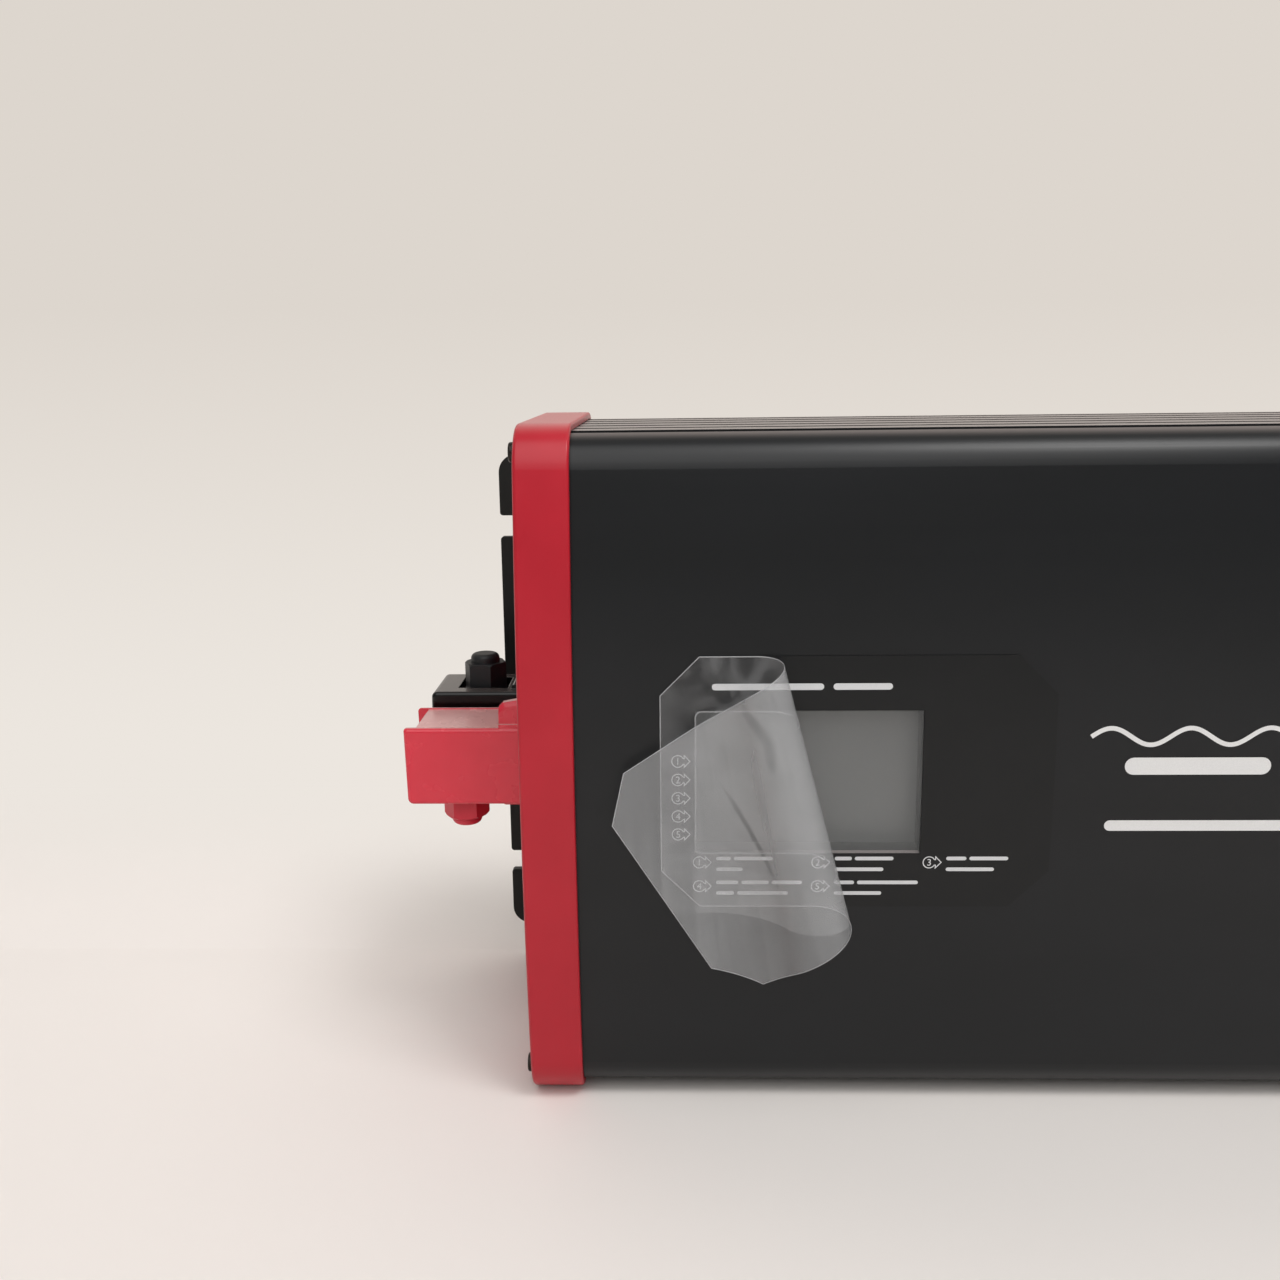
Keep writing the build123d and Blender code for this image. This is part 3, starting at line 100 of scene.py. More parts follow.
def relief(tree, shader, height, depth_mm, strength, edge_mm=None):
    """Feeds a height pattern of depth_mm into the shader's normal, over edges whose look is first
    rounded to edge_mm if that is given."""
    sockets = {"Height": height, "Distance": depth_mm / 1000, "Strength": strength}
    if edge_mm:
        sockets["Normal"] = add(tree, "Bevel", {"Radius": edge_mm / 1000}, samples=8).outputs["Normal"]
    tree.links.new(add(tree, "Bump", sockets).outputs["Normal"], shader.inputs["Normal"])


def dusted(tree, colour, amount):
    """Paints a pale sheen into a colour where the surface faces up: a painted reflection of the pale
    backdrop, which shows at a slant and all but vanishes when seen straight on. Each MapRange takes
    a value, the span that it is read on and the span that it is turned to."""
    up = add(tree, "SeparateXYZ", {"Vector": add(tree, "NewGeometry").outputs["Normal"]}).outputs["Z"]
    slant = add(tree, "LayerWeight", {"Blend": 0.5}).outputs["Facing"]
    share = add(tree, "MapRange", [slant, 0.3, 0.7, 0.0, amount]).outputs["Result"]
    level = add(tree, "MapRange", [up, 0.8, 1.0, 0.0, 1.0]).outputs["Result"]
    share = add(tree, "Math", [level, share], operation="MULTIPLY").outputs["Value"]
    # Pale colour of the painted sheen, mixed in on upward faces seen at a slant
    sockets = {"Factor": share, 6: colour, 7: linear("#e0d0cb")}
    return add(tree, "Mix", sockets, data_type="RGBA").outputs[2]


def feed(tree, shader, **sockets):
    """Links output sockets to the shader's inputs of the same names."""
    for name, value in sockets.items():
        tree.links.new(value, shader.inputs[name.replace("_", " ")])


def dress(finish, *nodes):
    """Gives CAD nodes a finish in place of their plain one."""
    for name in nodes:
        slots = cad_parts[name].data.materials
        slots.clear()
        slots.append(finish)


def black_anodised_aluminium():
    """Extruded and anodised: near black, satin, die lines 0.35 mm apart drawn out along X, and a
    pale painted sheen on top, seen at a slant."""
    made, tree, shader = surface("black_anodised_aluminium", IOR=1.4)
    lines = grain(tree, 0.35, stretch=(400, 1, 1))
    cloud = grain(tree, 40, stretch=(3, 1, 1))
    feed(
        tree,
        shader,
        # Pale painted sheen on the upward faces, seen only at a slant: a painted reflection of the
        # backdrop
        Base_Color=dusted(tree, tint(tree, cloud, "#0e1012", "#121417"), 0.3),
        Roughness=add(tree, "MapRange", [lines, 0.3, 0.7, 0.31, 0.37]).outputs["Result"],
    )
    relief(tree, shader, lines, 0.002, 0.3)
    return made


dress(black_anodised_aluminium(), "case_shell")


# Base plate and its screws
# Pressed steel sheet in black powder coat, whose skin is faintly pebbled, held by countersunk
# screws with a black oxide finish.


def black_powder_coat():
    """Baked powder on steel: semi-matt, pebbles about 0.6 mm across."""
    made, tree, shader = surface("black_powder_coat", Roughness=0.5, IOR=1.4)
    pebbles = grain(tree, 0.6, detail=1.0)
    feed(tree, shader, Base_Color=tint(tree, grain(tree, 30), "#080a08", "#0c0e0b"))
    relief(tree, shader, pebbles, 0.01, 0.3, edge_mm=0.3)
    return made


def black_oxide_steel():
    """Blackened screw steel: dark metal with a thin oil sheen."""
    made, tree, shader = surface("black_oxide_steel", Metallic=0.8, Roughness=0.38)
    feed(tree, shader, Base_Color=tint(tree, grain(tree, 1.5), "#26221f", "#3a3531"))
    return made


def zinc_plated_steel():
    """Bright zinc over turned steel: pale, slightly yellow, cloudy at a millimetre's scale."""
    made, tree, shader = surface("zinc_plated_steel", Metallic=1.0)
    cloud = grain(tree, 1.2)
    feed(
        tree,
        shader,
        Base_Color=tint(tree, cloud, "#b9b6ae", "#d2d0c8"),
        Roughness=add(tree, "MapRange", [cloud, 0.3, 0.7, 0.24, 0.38]).outputs["Result"],
    )
    return made


zinc = zinc_plated_steel()
blackened = black_oxide_steel()
dress(black_powder_coat(), "base_plate")
dress(blackened, "base_plate_screws", "end_cap_screws", "fan_screws")
dress(zinc, "end_cap_washers")


# End caps
# Injection-moulded ABS in red, slid over the ends of the shell and screwed into its ports.
# The moulded skin has a low sheen, drawn down its sides, and a pale painted sheen on top, seen at a
# slant.


def red_abs():
    """Moulded and lightly textured: saturated red under a low sheen, drawn down its sides."""
    made, tree, shader = surface("red_abs", IOR=1.42)
    drawn = grain(tree, 0.5, stretch=(1, 1, 60), detail=2.0)
    feed(
        tree,
        shader,
        # Pale painted sheen on the upward faces, seen only at a slant: a painted reflection of the
        # backdrop
        Base_Color=dusted(tree, tint(tree, grain(tree, 30), "#ab1526", "#b51b2c"), 0.17),
        Roughness=add(tree, "MapRange", [drawn, 0.3, 0.7, 0.3, 0.37]).outputs["Result"],
    )
    relief(tree, shader, drawn, 0.004, 0.3, edge_mm=0.5)
    return made


dress(red_abs(), "dc_end_cap", "ac_end_cap")


# Battery terminals
# Moulded lug housings over M8 studs and copper bars, with capped nuts: red for positive and
# black for negative. The mouldings have a satin skin, the nuts are fully matt.


def red_polyamide():
    """Satin moulding: a slightly pinker red than the caps, with slow ripples 12 mm apart."""
    made, tree, shader = surface("red_polyamide", IOR=1.53)
    feed(
        tree,
        shader,
        # Pale painted sheen on the upward faces, seen only at a slant: a painted reflection of the
        # backdrop
        Base_Color=dusted(tree, tint(tree, grain(tree, 12), "#d2283c", "#d82e42"), 0.6),
        Roughness=add(tree, "MapRange", [grain(tree, 12), 0.3, 0.7, 0.26, 0.28]).outputs["Result"],
    )
    relief(tree, shader, grain(tree, 12, detail=0.0), 0.02, 0.2, edge_mm=0.6)
    return made


def black_polyamide():
    """The same moulding in black."""
    made, tree, shader = surface("black_polyamide", IOR=1.4)
    feed(
        tree,
        shader,
        # Pale painted sheen on the upward faces, seen only at a slant: a painted reflection of the
        # backdrop
        Base_Color=dusted(tree, tint(tree, grain(tree, 12), "#060808", "#0a0c0c"), 0.1),
        Roughness=add(tree, "MapRange", [grain(tree, 12), 0.3, 0.7, 0.21, 0.24]).outputs["Result"],
    )
    relief(tree, shader, grain(tree, 12, detail=0.0), 0.02, 0.2, edge_mm=0.6)
    return made


def black_nut_cover():
    """Unpolished black moulding of the nut: dull, with a bluish cast."""
    made, tree, shader = surface("black_nut_cover", Roughness=0.5)
    feed(tree, shader, Base_Color=tint(tree, grain(tree, 3), "#0b0c10", "#101115"))
    relief(tree, shader, grain(tree, 0.6), 0.01, 0.3, edge_mm=0.3)
    return made


def red_nut_cover():
    """The same dull moulding in red."""
    made, tree, shader = surface("red_nut_cover", Roughness=0.45)
    feed(tree, shader, Base_Color=tint(tree, grain(tree, 3), "#ca2238", "#d1283e"))
    relief(tree, shader, grain(tree, 0.6), 0.01, 0.3, edge_mm=0.3)
    return made


def tough_pitch_copper():
    """Bare rolled copper bar: lines 0.4 mm apart along the bar, with a few brown clouds."""
    made, tree, shader = surface("tough_pitch_copper", Metallic=1.0)
    lines = grain(tree, 0.4, stretch=(60, 1, 1))
    feed(
        tree,
        shader,
        Base_Color=tint(tree, grain(tree, 8), "#a4603f", "#c98563"),
        Roughness=add(tree, "MapRange", [lines, 0.3, 0.7, 0.28, 0.42]).outputs["Result"],
    )
    return made


dress(red_polyamide(), "positive_terminal_housing")
dress(black_polyamide(), "negative_terminal_housing")
dress(red_nut_cover(), "positive_cap_nut")
dress(black_nut_cover(), "negative_cap_nut")
dress(tough_pitch_copper(), "positive_bus_bar", "negative_bus_bar")
dress(zinc, "terminal_studs", "terminal_washers")


# Fans
# Two axial fans in glass-filled black plastic behind plated wire guards, on bronze sleeves.


def black_pbt():
    """Glass-filled moulding: matt, with flow grain about 1 mm wide."""
    made, tree, shader = surface("black_pbt", Roughness=0.55)
    flow = grain(tree, 1.0)
    feed(tree, shader, Base_Color=tint(tree, flow, "#141414", "#1e1e1e"))
    relief(tree, shader, flow, 0.01, 0.4)
    return made


def chromed_wire():
    """Drawn and plated wire: bright, with slight waves."""
    made, tree, shader = surface("chromed_wire", Metallic=1.0, Roughness=0.16)
    feed(tree, shader, Base_Color=tint(tree, grain(tree, 4), "#bdbfc2", "#d8dadc"))
    relief(tree, shader, grain(tree, 1.0), 0.01, 0.3)
    return made


def sintered_bronze():
    """Pressed bronze powder: warm, matt, 0.2 mm grains."""
    made, tree, shader = surface("sintered_bronze", Metallic=1.0, Roughness=0.5)
    feed(tree, shader, Base_Color=tint(tree, grain(tree, 0.2), "#8a6237", "#a87a48"))
    return made


def pvc_jacket(name, dark, light):
    """Extruded wire jacket: soft sheen with slow waves along it."""
    made, tree, shader = surface(name, Roughness=0.42)
    feed(tree, shader, Base_Color=tint(tree, grain(tree, 3), dark, light))
    relief(tree, shader, grain(tree, 2), 0.02, 0.3)
    return made


moulded_black = black_pbt()
dress(moulded_black, "upper_fan_frame", "lower_fan_frame", "upper_fan_rotor", "lower_fan_rotor")
dress(chromed_wire(), "upper_finger_guard", "lower_finger_guard")
dress(sintered_bronze(), "fan_bearings")
dress(pvc_jacket("red_pvc", "#8c1f22", "#a52a2c"), "fan_leads")
dress(pvc_jacket("blue_pvc", "#23356d", "#2c4384"), "ac_wires")
dress(pvc_jacket("grey_ribbon_pvc", "#7d7f80", "#94979a"), "ribbon_cable")


# Display
# A liquid crystal panel sits some 11 mm behind a clear window, at the end of a dark tunnel. The
# overlay round the window is printed polycarbonate film on the arched face.


def printed_overlay():
    """Velvet polycarbonate film printed black on its back: dark, even, satin."""
    made, tree, shader = surface("printed_overlay", Roughness=0.34, IOR=1.4)
    feed(tree, shader, Base_Color=tint(tree, grain(tree, 15), "#07090b", "#0a0c0e"))
    relief(tree, shader, grain(tree, 0.15), 0.001, 0.2)
    return made


def clear_acrylic():
    """Clear lens: nearly all light passes, with a gloss reflection."""
    colour = linear("#f4f6f6")
    return surface("clear_acrylic", Base_Color=colour, Alpha=0.06, Roughness=0.03, IOR=1.49)[0]


def liquid_crystal_panel():
    """Unpowered reflective panel: flat grey polariser, a touch lighter in faint clouds."""
    made, tree, shader = surface("liquid_crystal_panel", Roughness=0.3, IOR=1.45)
    feed(tree, shader, Base_Color=tint(tree, grain(tree, 18), "#4e4f4f", "#525353"))
    return made


def circuit_laminate():
    """Glass-epoxy board under green solder mask, which stands a little proud over the copper."""
    made, tree, shader = surface("circuit_laminate", Roughness=0.35)
    copper = grain(tree, 6, detail=0.0)
    feed(tree, shader, Base_Color=tint(tree, copper, "#124a2a", "#1c6a3c"))
    relief(tree, shader, copper, 0.03, 0.5)
    return made


mask_green = circuit_laminate()
dress(printed_overlay(), "display_label")
dress(clear_acrylic(), "display_window")
dress(liquid_crystal_panel(), "display_panel")
dress(moulded_black, "display_frame", "usb_tongue")
dress(mask_green, "display_board", "main_board", "control_board")
dress(zinc, "display_posts", "board_standoffs", "board_screws")


# Outlets, switch and ports
# Mains outlets moulded in urea resin, a red rocker in a black bezel, a plated USB shell, a
# modular jack, two lights and the earth bolt, all set in the far end cap.


def black_urea():
    """Compression-moulded urea: hard, glossy, barely rippled."""
    made, tree, shader = surface("black_urea", Roughness=0.28, IOR=1.55)
    feed(tree, shader, Base_Color=tint(tree, grain(tree, 9), "#17181a", "#1e1f21"))
    relief(tree, shader, grain(tree, 3), 0.01, 0.3)
    return made


def signal_red_polycarbonate():
    """Rocker button: glossy signal red."""
    made, tree, shader = surface("signal_red_polycarbonate", Roughness=0.22, IOR=1.58)
    feed(tree, shader, Base_Color=tint(tree, grain(tree, 7), "#a91e22", "#b42428"))
    return made


def tinned_steel():
    """Folded tin-plated sheet: grey, satin."""
    made, tree, shader = surface("tinned_steel", Metallic=1.0, Roughness=0.32)
    feed(tree, shader, Base_Color=tint(tree, grain(tree, 2), "#a9aaab", "#c2c3c4"))
    return made


def turned_brass():
    """Machined brass: yellow, with turning marks about 0.3 mm apart."""
    made, tree, shader = surface("turned_brass", Metallic=1.0, Roughness=0.26)
    feed(tree, shader, Base_Color=tint(tree, grain(tree, 5), "#b08a45", "#cfa75c"))
    relief(tree, shader, grain(tree, 0.3, stretch=(1, 8, 8)), 0.01, 0.4)
    return made


def tinted_lens(name, dark, light):
    """Diffused indicator resin: strongly coloured and slightly see-through."""
    made, tree, shader = surface(name, Roughness=0.15, IOR=1.5, Transmission_Weight=0.4)
    feed(tree, shader, Base_Color=tint(tree, grain(tree, 1.5), dark, light))
    return made


dress(black_urea(), "upper_ac_socket", "lower_ac_socket")
dress(moulded_black, "switch_housing", "remote_jack")
dress(signal_red_polycarbonate(), "switch_rocker")
dress(tinned_steel(), "usb_shell")
brass = turned_brass()
dress(brass, "brass_contacts", "earth_stud", "earth_nuts")
dress(tinted_lens("green_lens_resin", "#1a9338", "#20a140"), "power_light")
dress(tinted_lens("red_lens_resin", "#ab1d1c", "#bb2322"), "fault_light")


# Inside the case
# Ferrite transformers and chokes, electrolytic capacitors, heat sinks with their transistors,
# and fuses. They show only through the fan and vent openings, if at all.


def sintered_ferrite():
    """Fired ceramic: near black, dull, slightly pitted."""
    made, tree, shader = surface("sintered_ferrite", Roughness=0.6)
    pits = grain(tree, 0.5)
    feed(tree, shader, Base_Color=tint(tree, pits, "#252628", "#35363a"))
    relief(tree, shader, pits, 0.03, 0.5)
    return made


def polyester_tape():
    """Yellow winding tape: glossy layers 2 mm apart."""
    made, tree, shader = surface("polyester_tape", Roughness=0.3)
    feed(tree, shader, Base_Color=tint(tree, grain(tree, 2, stretch=(20, 1, 20)), "#c9a52b", "#dcb93c"))
    return made


def enamelled_copper_wire():
    """Windings read as close wire under amber enamel. The texture's bands repeat every
    0.314 / scale metres, here 2 mm."""
    made, tree, shader = surface("enamelled_copper_wire", Metallic=1.0, Roughness=0.3)
    place = add(tree, "TexCoord").outputs["Object"]
    sockets = {"Vector": place, "Scale": 158.73, "Distortion": 0.4}
    turns = add(tree, "TexWave", sockets).outputs["Fac"]
    feed(tree, shader, Base_Color=tint(tree, turns, "#7c3a1c", "#b8683a"))
    relief(tree, shader, turns, 0.3, 0.6)
    return made


def shrink_sleeve():
    """Heat-shrunk PVC sleeve over a can: dark blue, glossy."""
    made, tree, shader = surface("shrink_sleeve", Roughness=0.25)
    feed(tree, shader, Base_Color=tint(tree, grain(tree, 10), "#141b33", "#1b2442"))
    return made


def sawn_aluminium():
    """Bare extruded bar: pale, lines 0.5 mm apart."""
    made, tree, shader = surface("sawn_aluminium", Metallic=1.0)
    lines = grain(tree, 0.5, stretch=(80, 1, 1))
    feed(
        tree,
        shader,
        Base_Color=tint(tree, lines, "#b4b6b8", "#c9cbcd"),
        Roughness=add(tree, "MapRange", [lines, 0.3, 0.7, 0.28, 0.42]).outputs["Result"],
    )
    return made


def fuse_plastic():
    """Moulded fuse body: amber, glossy."""
    made, tree, shader = surface("fuse_plastic", Roughness=0.2)
    feed(tree, shader, Base_Color=tint(tree, grain(tree, 4), "#b98a1c", "#cf9f2a"))
    return made


dress(sintered_ferrite(), "transformer_cores", "choke_cores")
dress(polyester_tape(), "transformer_windings")
dress(enamelled_copper_wire(), "choke_windings")
dress(shrink_sleeve(), "input_capacitors", "bus_capacitors")
dress(sawn_aluminium(), "heat_sinks")
dress(black_urea(), "power_transistors")
dress(tinned_steel(), "transistor_clamps")
dress(fuse_plastic(), "input_fuses")


# Print on the overlay and the case
# White screen print a few hundredths of a millimetre thick: numbered signal arrows, plain bars
# where words would be, and a wave over bars on the case beside it.


cap_low, cap_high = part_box("dc_end_cap")
label_low, label_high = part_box("display_label")
ink_t = 0.00004


def front_of(node):
    """Where a line along +Y first meets a node, for any place given as x and z."""
    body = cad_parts[node]
    points = [body.matrix_world @ v.co for v in body.data.vertices]
    tree = BVHTree.FromPolygons(points, [list(p.vertices) for p in body.data.polygons])
    return lambda x, z: tree.ray_cast(Vector((x, cap_low[1] - 0.1, z)), Vector((0, 1, 0)))[0].y


def ribbon(path, width, closed=False):
    """A flat strip of one width along a path: each point is shifted by half the width along the
    mean of its two neighbouring normals, lengthened by one over the cosine of half the turn."""
    path = np.asarray(path, float)
    if closed:
        before, after = np.roll(path, 1, 0), np.roll(path, -1, 0)
    else:
        before = np.vstack([2 * path[0] - path[1], path[:-1]])
        after = np.vstack([path[1:], 2 * path[-1] - path[-2]])
    ahead = after - path
    behind = path - before
    ahead /= np.linalg.norm(ahead, axis=1)[:, None]
    behind /= np.linalg.norm(behind, axis=1)[:, None]
    normal = np.stack([-(ahead + behind)[:, 1], (ahead + behind)[:, 0]], 1)
    normal /= np.linalg.norm(normal, axis=1)[:, None]
    half_turn = np.clip((normal * np.stack([-ahead[:, 1], ahead[:, 0]], 1)).sum(1), 0.3, 1)
    normal *= (width / 2 / half_turn)[:, None]
    points = np.vstack([path + normal, path - normal])
    n = len(path)
    i = np.arange(n if closed else n - 1)
    j = (i + 1) % n
    return points, np.stack([i, i + n, j + n, j], 1)


def round_bar(x0, x1, z, height):
    """A filled bar with round ends: a ladder of rungs whose half height falls off on a circle."""
    r = height / 2
    turn = np.linspace(0, np.pi / 2, 6)
    x = np.concatenate([x0 + r - r * np.cos(turn), x1 - r + r * np.cos(turn[::-1])])
    half = r * np.sin(np.concatenate([turn, turn[::-1]])) + 1e-6
    points = np.vstack([np.stack([x, z - half], 1), np.stack([x, z + half], 1)])
    i = np.arange(len(x) - 1)
    return points, np.stack([i, i + 1, i + 1 + len(x), i + len(x)], 1)


def words(x, z, lengths, height, gap):
    """Bars in a row, one for each word of a line."""
    made = []
    for length in lengths:
        made.append(round_bar(x, x + length, z, height))
        x += length + gap
    return made


def signal_arrow(x, z, r):
    """A ring, open on the right, whose ends run into a short broad arrowhead, in outline."""
    mouth, line = 0.5, 0.0003
    turn = np.linspace(mouth, 2 * np.pi - mouth, 28)
    ring = np.stack([x + r * np.cos(turn), z + r * np.sin(turn)], 1)
    neck, tip = x + 1.06 * r, x + 2.0 * r
    upper = [ring[0], (neck, ring[0][1]), (neck, z + 1.0 * r)]
    lower = [(neck, z - 1.0 * r), (neck, ring[-1][1]), ring[-1]]
    return [ribbon(ring, line), ribbon([*upper, (tip, z), *lower], line)]


def digit(text, x, z, height):
    """A plain figure as filled triangles, centred on a point. The font's figures stand 0.7 of its
    size high."""
    curve = bpy.data.curves.new("figure", "FONT")
    curve.body, curve.size = text, height / 0.7
    holder = bpy.data.objects.new("figure", curve)
    flat = bpy.data.meshes.new_from_object(holder)
    points = np.array([v.co[:2] for v in flat.vertices])
    middle = (points.min(0) + points.max(0)) / 2
    faces = [list(p.vertices) for p in flat.polygons]
    bpy.data.objects.remove(holder)
    bpy.data.curves.remove(curve)
    bpy.data.meshes.remove(flat)
    return points - middle + (x, z), faces


def printed(name, shapes, finish, node):
    """Lays flat shapes on the front of a node as one mesh, a hair's breadth in front of it."""
    points, faces, start = [], [], 0
    for shape_points, shape_faces in shapes:
        points.append(shape_points)
        faces += [[start + int(i) for i in face] for face in shape_faces]
        start += len(shape_points)
    flat = np.vstack(points)
    meets = front_of(node)
    y = np.array([meets(x, z) for x, z in flat]) - 0.9 * ink_t
    mesh = bpy.data.meshes.new(name)
    mesh.from_pydata(np.stack([flat[:, 0], y, flat[:, 1]], 1).tolist(), [], faces)
    mesh.materials.append(finish)
    made = bpy.data.objects.new(name, mesh)
    bpy.context.collection.objects.link(made)
    thick = made.modifiers.new("ink", "SOLIDIFY")
    thick.thickness = ink_t
    thick.offset = 0
    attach(made, "inverter")
    return made


def white_screen_ink(name, thin, full):
    """Screen-printed ink: chalky, a little greyer where it lies thin."""
    made, tree, shader = surface(name, Roughness=0.5)
    feed(tree, shader, Base_Color=tint(tree, grain(tree, 0.3), thin, full))
    return made


def numbered_arrow(number, x, z):
    """A signal arrow with its number in the ring."""
    ring_r, figure_height = 0.00185, 0.0022
    return [*signal_arrow(x, z, ring_r), digit(str(number), x, z, figure_height)]


label_x, label_top = label_low[0], label_high[2]
legend = words(label_x + 0.0158, label_top - 0.0094, (0.0338, 0.0178), 0.0020, 0.0028)
column_x, column_top, column_step = 0.0054, 0.0326, 0.0059
for k in range(5):
    legend += numbered_arrow(k + 1, label_x + column_x, label_top - column_top - column_step * k)
# Each signal: how far right of and below the label's corner, then the words of its two lines.
signals = [
    (0.0119, 0.0655, (0.0046, 0.0121), (0.0083,)),
    (0.0486, 0.0655, (0.0053, 0.0119), (0.0151,)),
    (0.0829, 0.0655, (0.0062, 0.0119), (0.0148,)),
    (0.0119, 0.0735, (0.0070, 0.0086, 0.0094), (0.0057, 0.0158)),
    (0.0486, 0.0735, (0.0062, 0.0188), (0.0147,)),
]
text_x, text_height, text_gap = 0.0052, 0.0012, 0.0009
for k, (across, down, *lines) in enumerate(signals):
    x, z = label_x + across, label_top - down
    legend += numbered_arrow(k + 1, x, z)
    for rise, lengths in zip((0.0013, -0.0023), lines):
        legend += words(x + text_x, z + rise, lengths, text_height, text_gap)
label_ink = white_screen_ink("white_screen_ink", "#cbccce", "#d3d4d6")
printed("display_legend", legend, label_ink, "display_label")

wave_count, wave_height, wave_line, wave_middle = 4, 0.0026, 0.0014, 0.1257
wave_x = np.linspace(cap_low[0] + 0.1735, cap_low[0] + 0.2685, 121)
wave_turn = (wave_x - wave_x[0]) / (wave_x[-1] - wave_x[0]) * 2 * np.pi * wave_count
wave_z = wave_middle + wave_height * np.sin(wave_turn)
case_print = [ribbon(np.stack([wave_x, wave_z], 1), wave_line)]
case_print += words(cap_low[0] + 0.1840, 0.1164, (0.0437, 0.0273), 0.0054, 0.0030)
case_print.append(round_bar(cap_low[0] + 0.1790, cap_low[0] + 0.2630, 0.0974, 0.0034))
case_ink = white_screen_ink("case_screen_ink", "#d8d8d8", "#e0e0e0")
printed("case_print", case_print, case_ink, "case_shell")


# Protective film
# Thin clear polyester that covers the overlay in transit. Its left part still clings to the
# overlay, and its right part is peeled, rolled over in a cone and lies back over the left part.


window_low, window_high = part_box("display_window")
arch_drop = 0.0083  # how far the front falls back at its top and bottom edges
arch_half = cap_high[2] / 2
label_face = 0.0021  # the overlay's face behind the cap's front
apex = Vector((cap_low[0] + 0.028, cap_low[1] + label_face, 0.351))
fold = np.radians(12.5)  # where the roll starts, as an angle at the apex
roll = (np.radians(8.5), 27.8)  # angle and curvature, then the same of the stretch after it
unroll = (np.radians(5.7), -10.8)
chamfer = 0.012
film_t = 0.00012


def arch(z):
    """How far the arched front lies behind its crown at height z: a circle over the full height."""
    r = (arch_half**2 + arch_drop**2) / (2 * arch_drop)
    return r - np.sqrt(r**2 - (np.asarray(z) - arch_half) ** 2)


def film_reach(angle):
    """Where rays from the apex enter and leave the label's octagon: the largest and smallest of
    the distances to its eight sides, taken over the sides that a ray enters and leaves."""
    along = np.stack([np.sin(angle), -np.cos(angle)], 1)
    half = np.array([label_high[0] - label_low[0], label_high[2] - label_low[2]]) / 2
    middle = np.array([label_high[0] + label_low[0], label_high[2] + label_low[2]]) / 2
    out = np.stack([np.cos(np.arange(8) * np.pi / 4), np.sin(np.arange(8) * np.pi / 4)], 1)
    corner = (half.sum() - chamfer) / np.sqrt(2)
    sides = np.array([half[0], corner, half[1], corner] * 2)
    reach = sides - out @ (np.array([apex[0], apex[2]]) - middle)
    slope = along @ out.T
    distance = reach / slope
    entry = np.where(slope < -1e-9, distance, -1).max(1)
    leave = np.where(slope > 1e-9, distance, 9).min(1)
    return entry, np.maximum(leave, entry)


def film_rays(angle):
    """Directions of the film's straight lines once it is rolled. Along the sheet the direction
    turns on a sphere at a steady curvature in each zone, which is a turn about one fixed axis:
    none while it clings, then the roll, then the stretch that bends back, then none again."""
    ray = np.array([np.sin(fold), 0, -np.cos(fold)])
    side = np.array([np.cos(fold), 0, np.sin(fold)])
    rays = np.stack([np.sin(angle), np.zeros_like(angle), -np.cos(angle)], 1)
    start = fold
    for arc, curvature in (roll, unroll, (1.0, 0.0)):
        axis = curvature * ray + np.cross(ray, side)
        size = np.linalg.norm(axis)
        axis = axis / size

        def turned(vector, by):
            """The vector turned about the axis: its part along the axis stays, the rest goes round."""
            c, s = np.cos(by)[:, None], np.sin(by)[:, None]
            return vector * c + np.cross(axis, vector) * s + axis * (axis @ vector) * (1 - c)

        inside = angle > start
        rays[inside] = turned(ray, (angle[inside] - start) * size)
        end = np.array([arc * size])
        ray, side = turned(ray, end)[0], turned(side, end)[0]
        start += arc
    return rays


def film_sheet():
    """Grid over the film: one parameter is the ray's angle at the apex, the other the share of
    the way along it. The face's arch is added to what clings and fades out over the roll. Also
    gives each point's lift (0 clinging, 1 free) and its places on the flat sheet and as a ray."""
    x0, x1, z0, z1 = label_low[0], label_high[0], label_low[2], label_high[2]
    corners = [(x0, z0 + chamfer), (x0, z1 - chamfer), (x0 + chamfer, z0), (x0 + chamfer, z1)]
    corners += [(x1 - chamfer, z0), (x1, z0 + chamfer), (x1 - chamfer, z1), (x1, z1 - chamfer)]
    turns = sorted(np.arctan2(cx - apex[0], apex[2] - cz) for cx, cz in corners)
    marks = sorted([*turns, fold, fold + roll[0], fold + roll[0] + unroll[0]])
    step = np.radians(0.16)
    zones = [
        np.linspace(a, b, max(2, int(np.ceil((b - a) / step))), endpoint=False)
        for a, b in zip(marks, marks[1:])
    ]
    angle = np.append(np.concatenate(zones), marks[-1])
    entry, leave = film_reach(angle)
    share = np.linspace(0, 1, 61)
    distance = entry[:, None] + (leave - entry)[:, None] * share
    rays = film_rays(angle)
    points = np.array(apex) + rays[:, None, :] * distance[..., None]
    flat_z = apex[2] - np.cos(angle)[:, None] * distance
    fade = np.clip((fold + roll[0] - angle) / roll[0], 0, 1)[:, None]
    fade = fade * fade * (3 - 2 * fade)
    points[..., 1] += arch(flat_z) * fade - film_t
    rows, columns = points.shape[:2]
    i, j = np.meshgrid(np.arange(rows - 1), np.arange(columns - 1), indexing="ij")
    first = (i * columns + j).ravel()
    faces = np.stack([first, first + 1, first + columns + 1, first + columns], 1)
    lifted = np.clip((angle - fold) / (roll[0] * 0.7), 0, 1)
    lifted = np.repeat(lifted * lifted * (3 - 2 * lifted), columns)
    flat_x = apex[0] + np.sin(angle)[:, None] * distance
    cut = np.stack([flat_x.ravel() - x0, flat_z.ravel() - z0], 1)
    rays = np.stack([np.repeat(angle, columns), distance.ravel()], 1)
    return points.reshape(-1, 3), faces, lifted, cut, rays


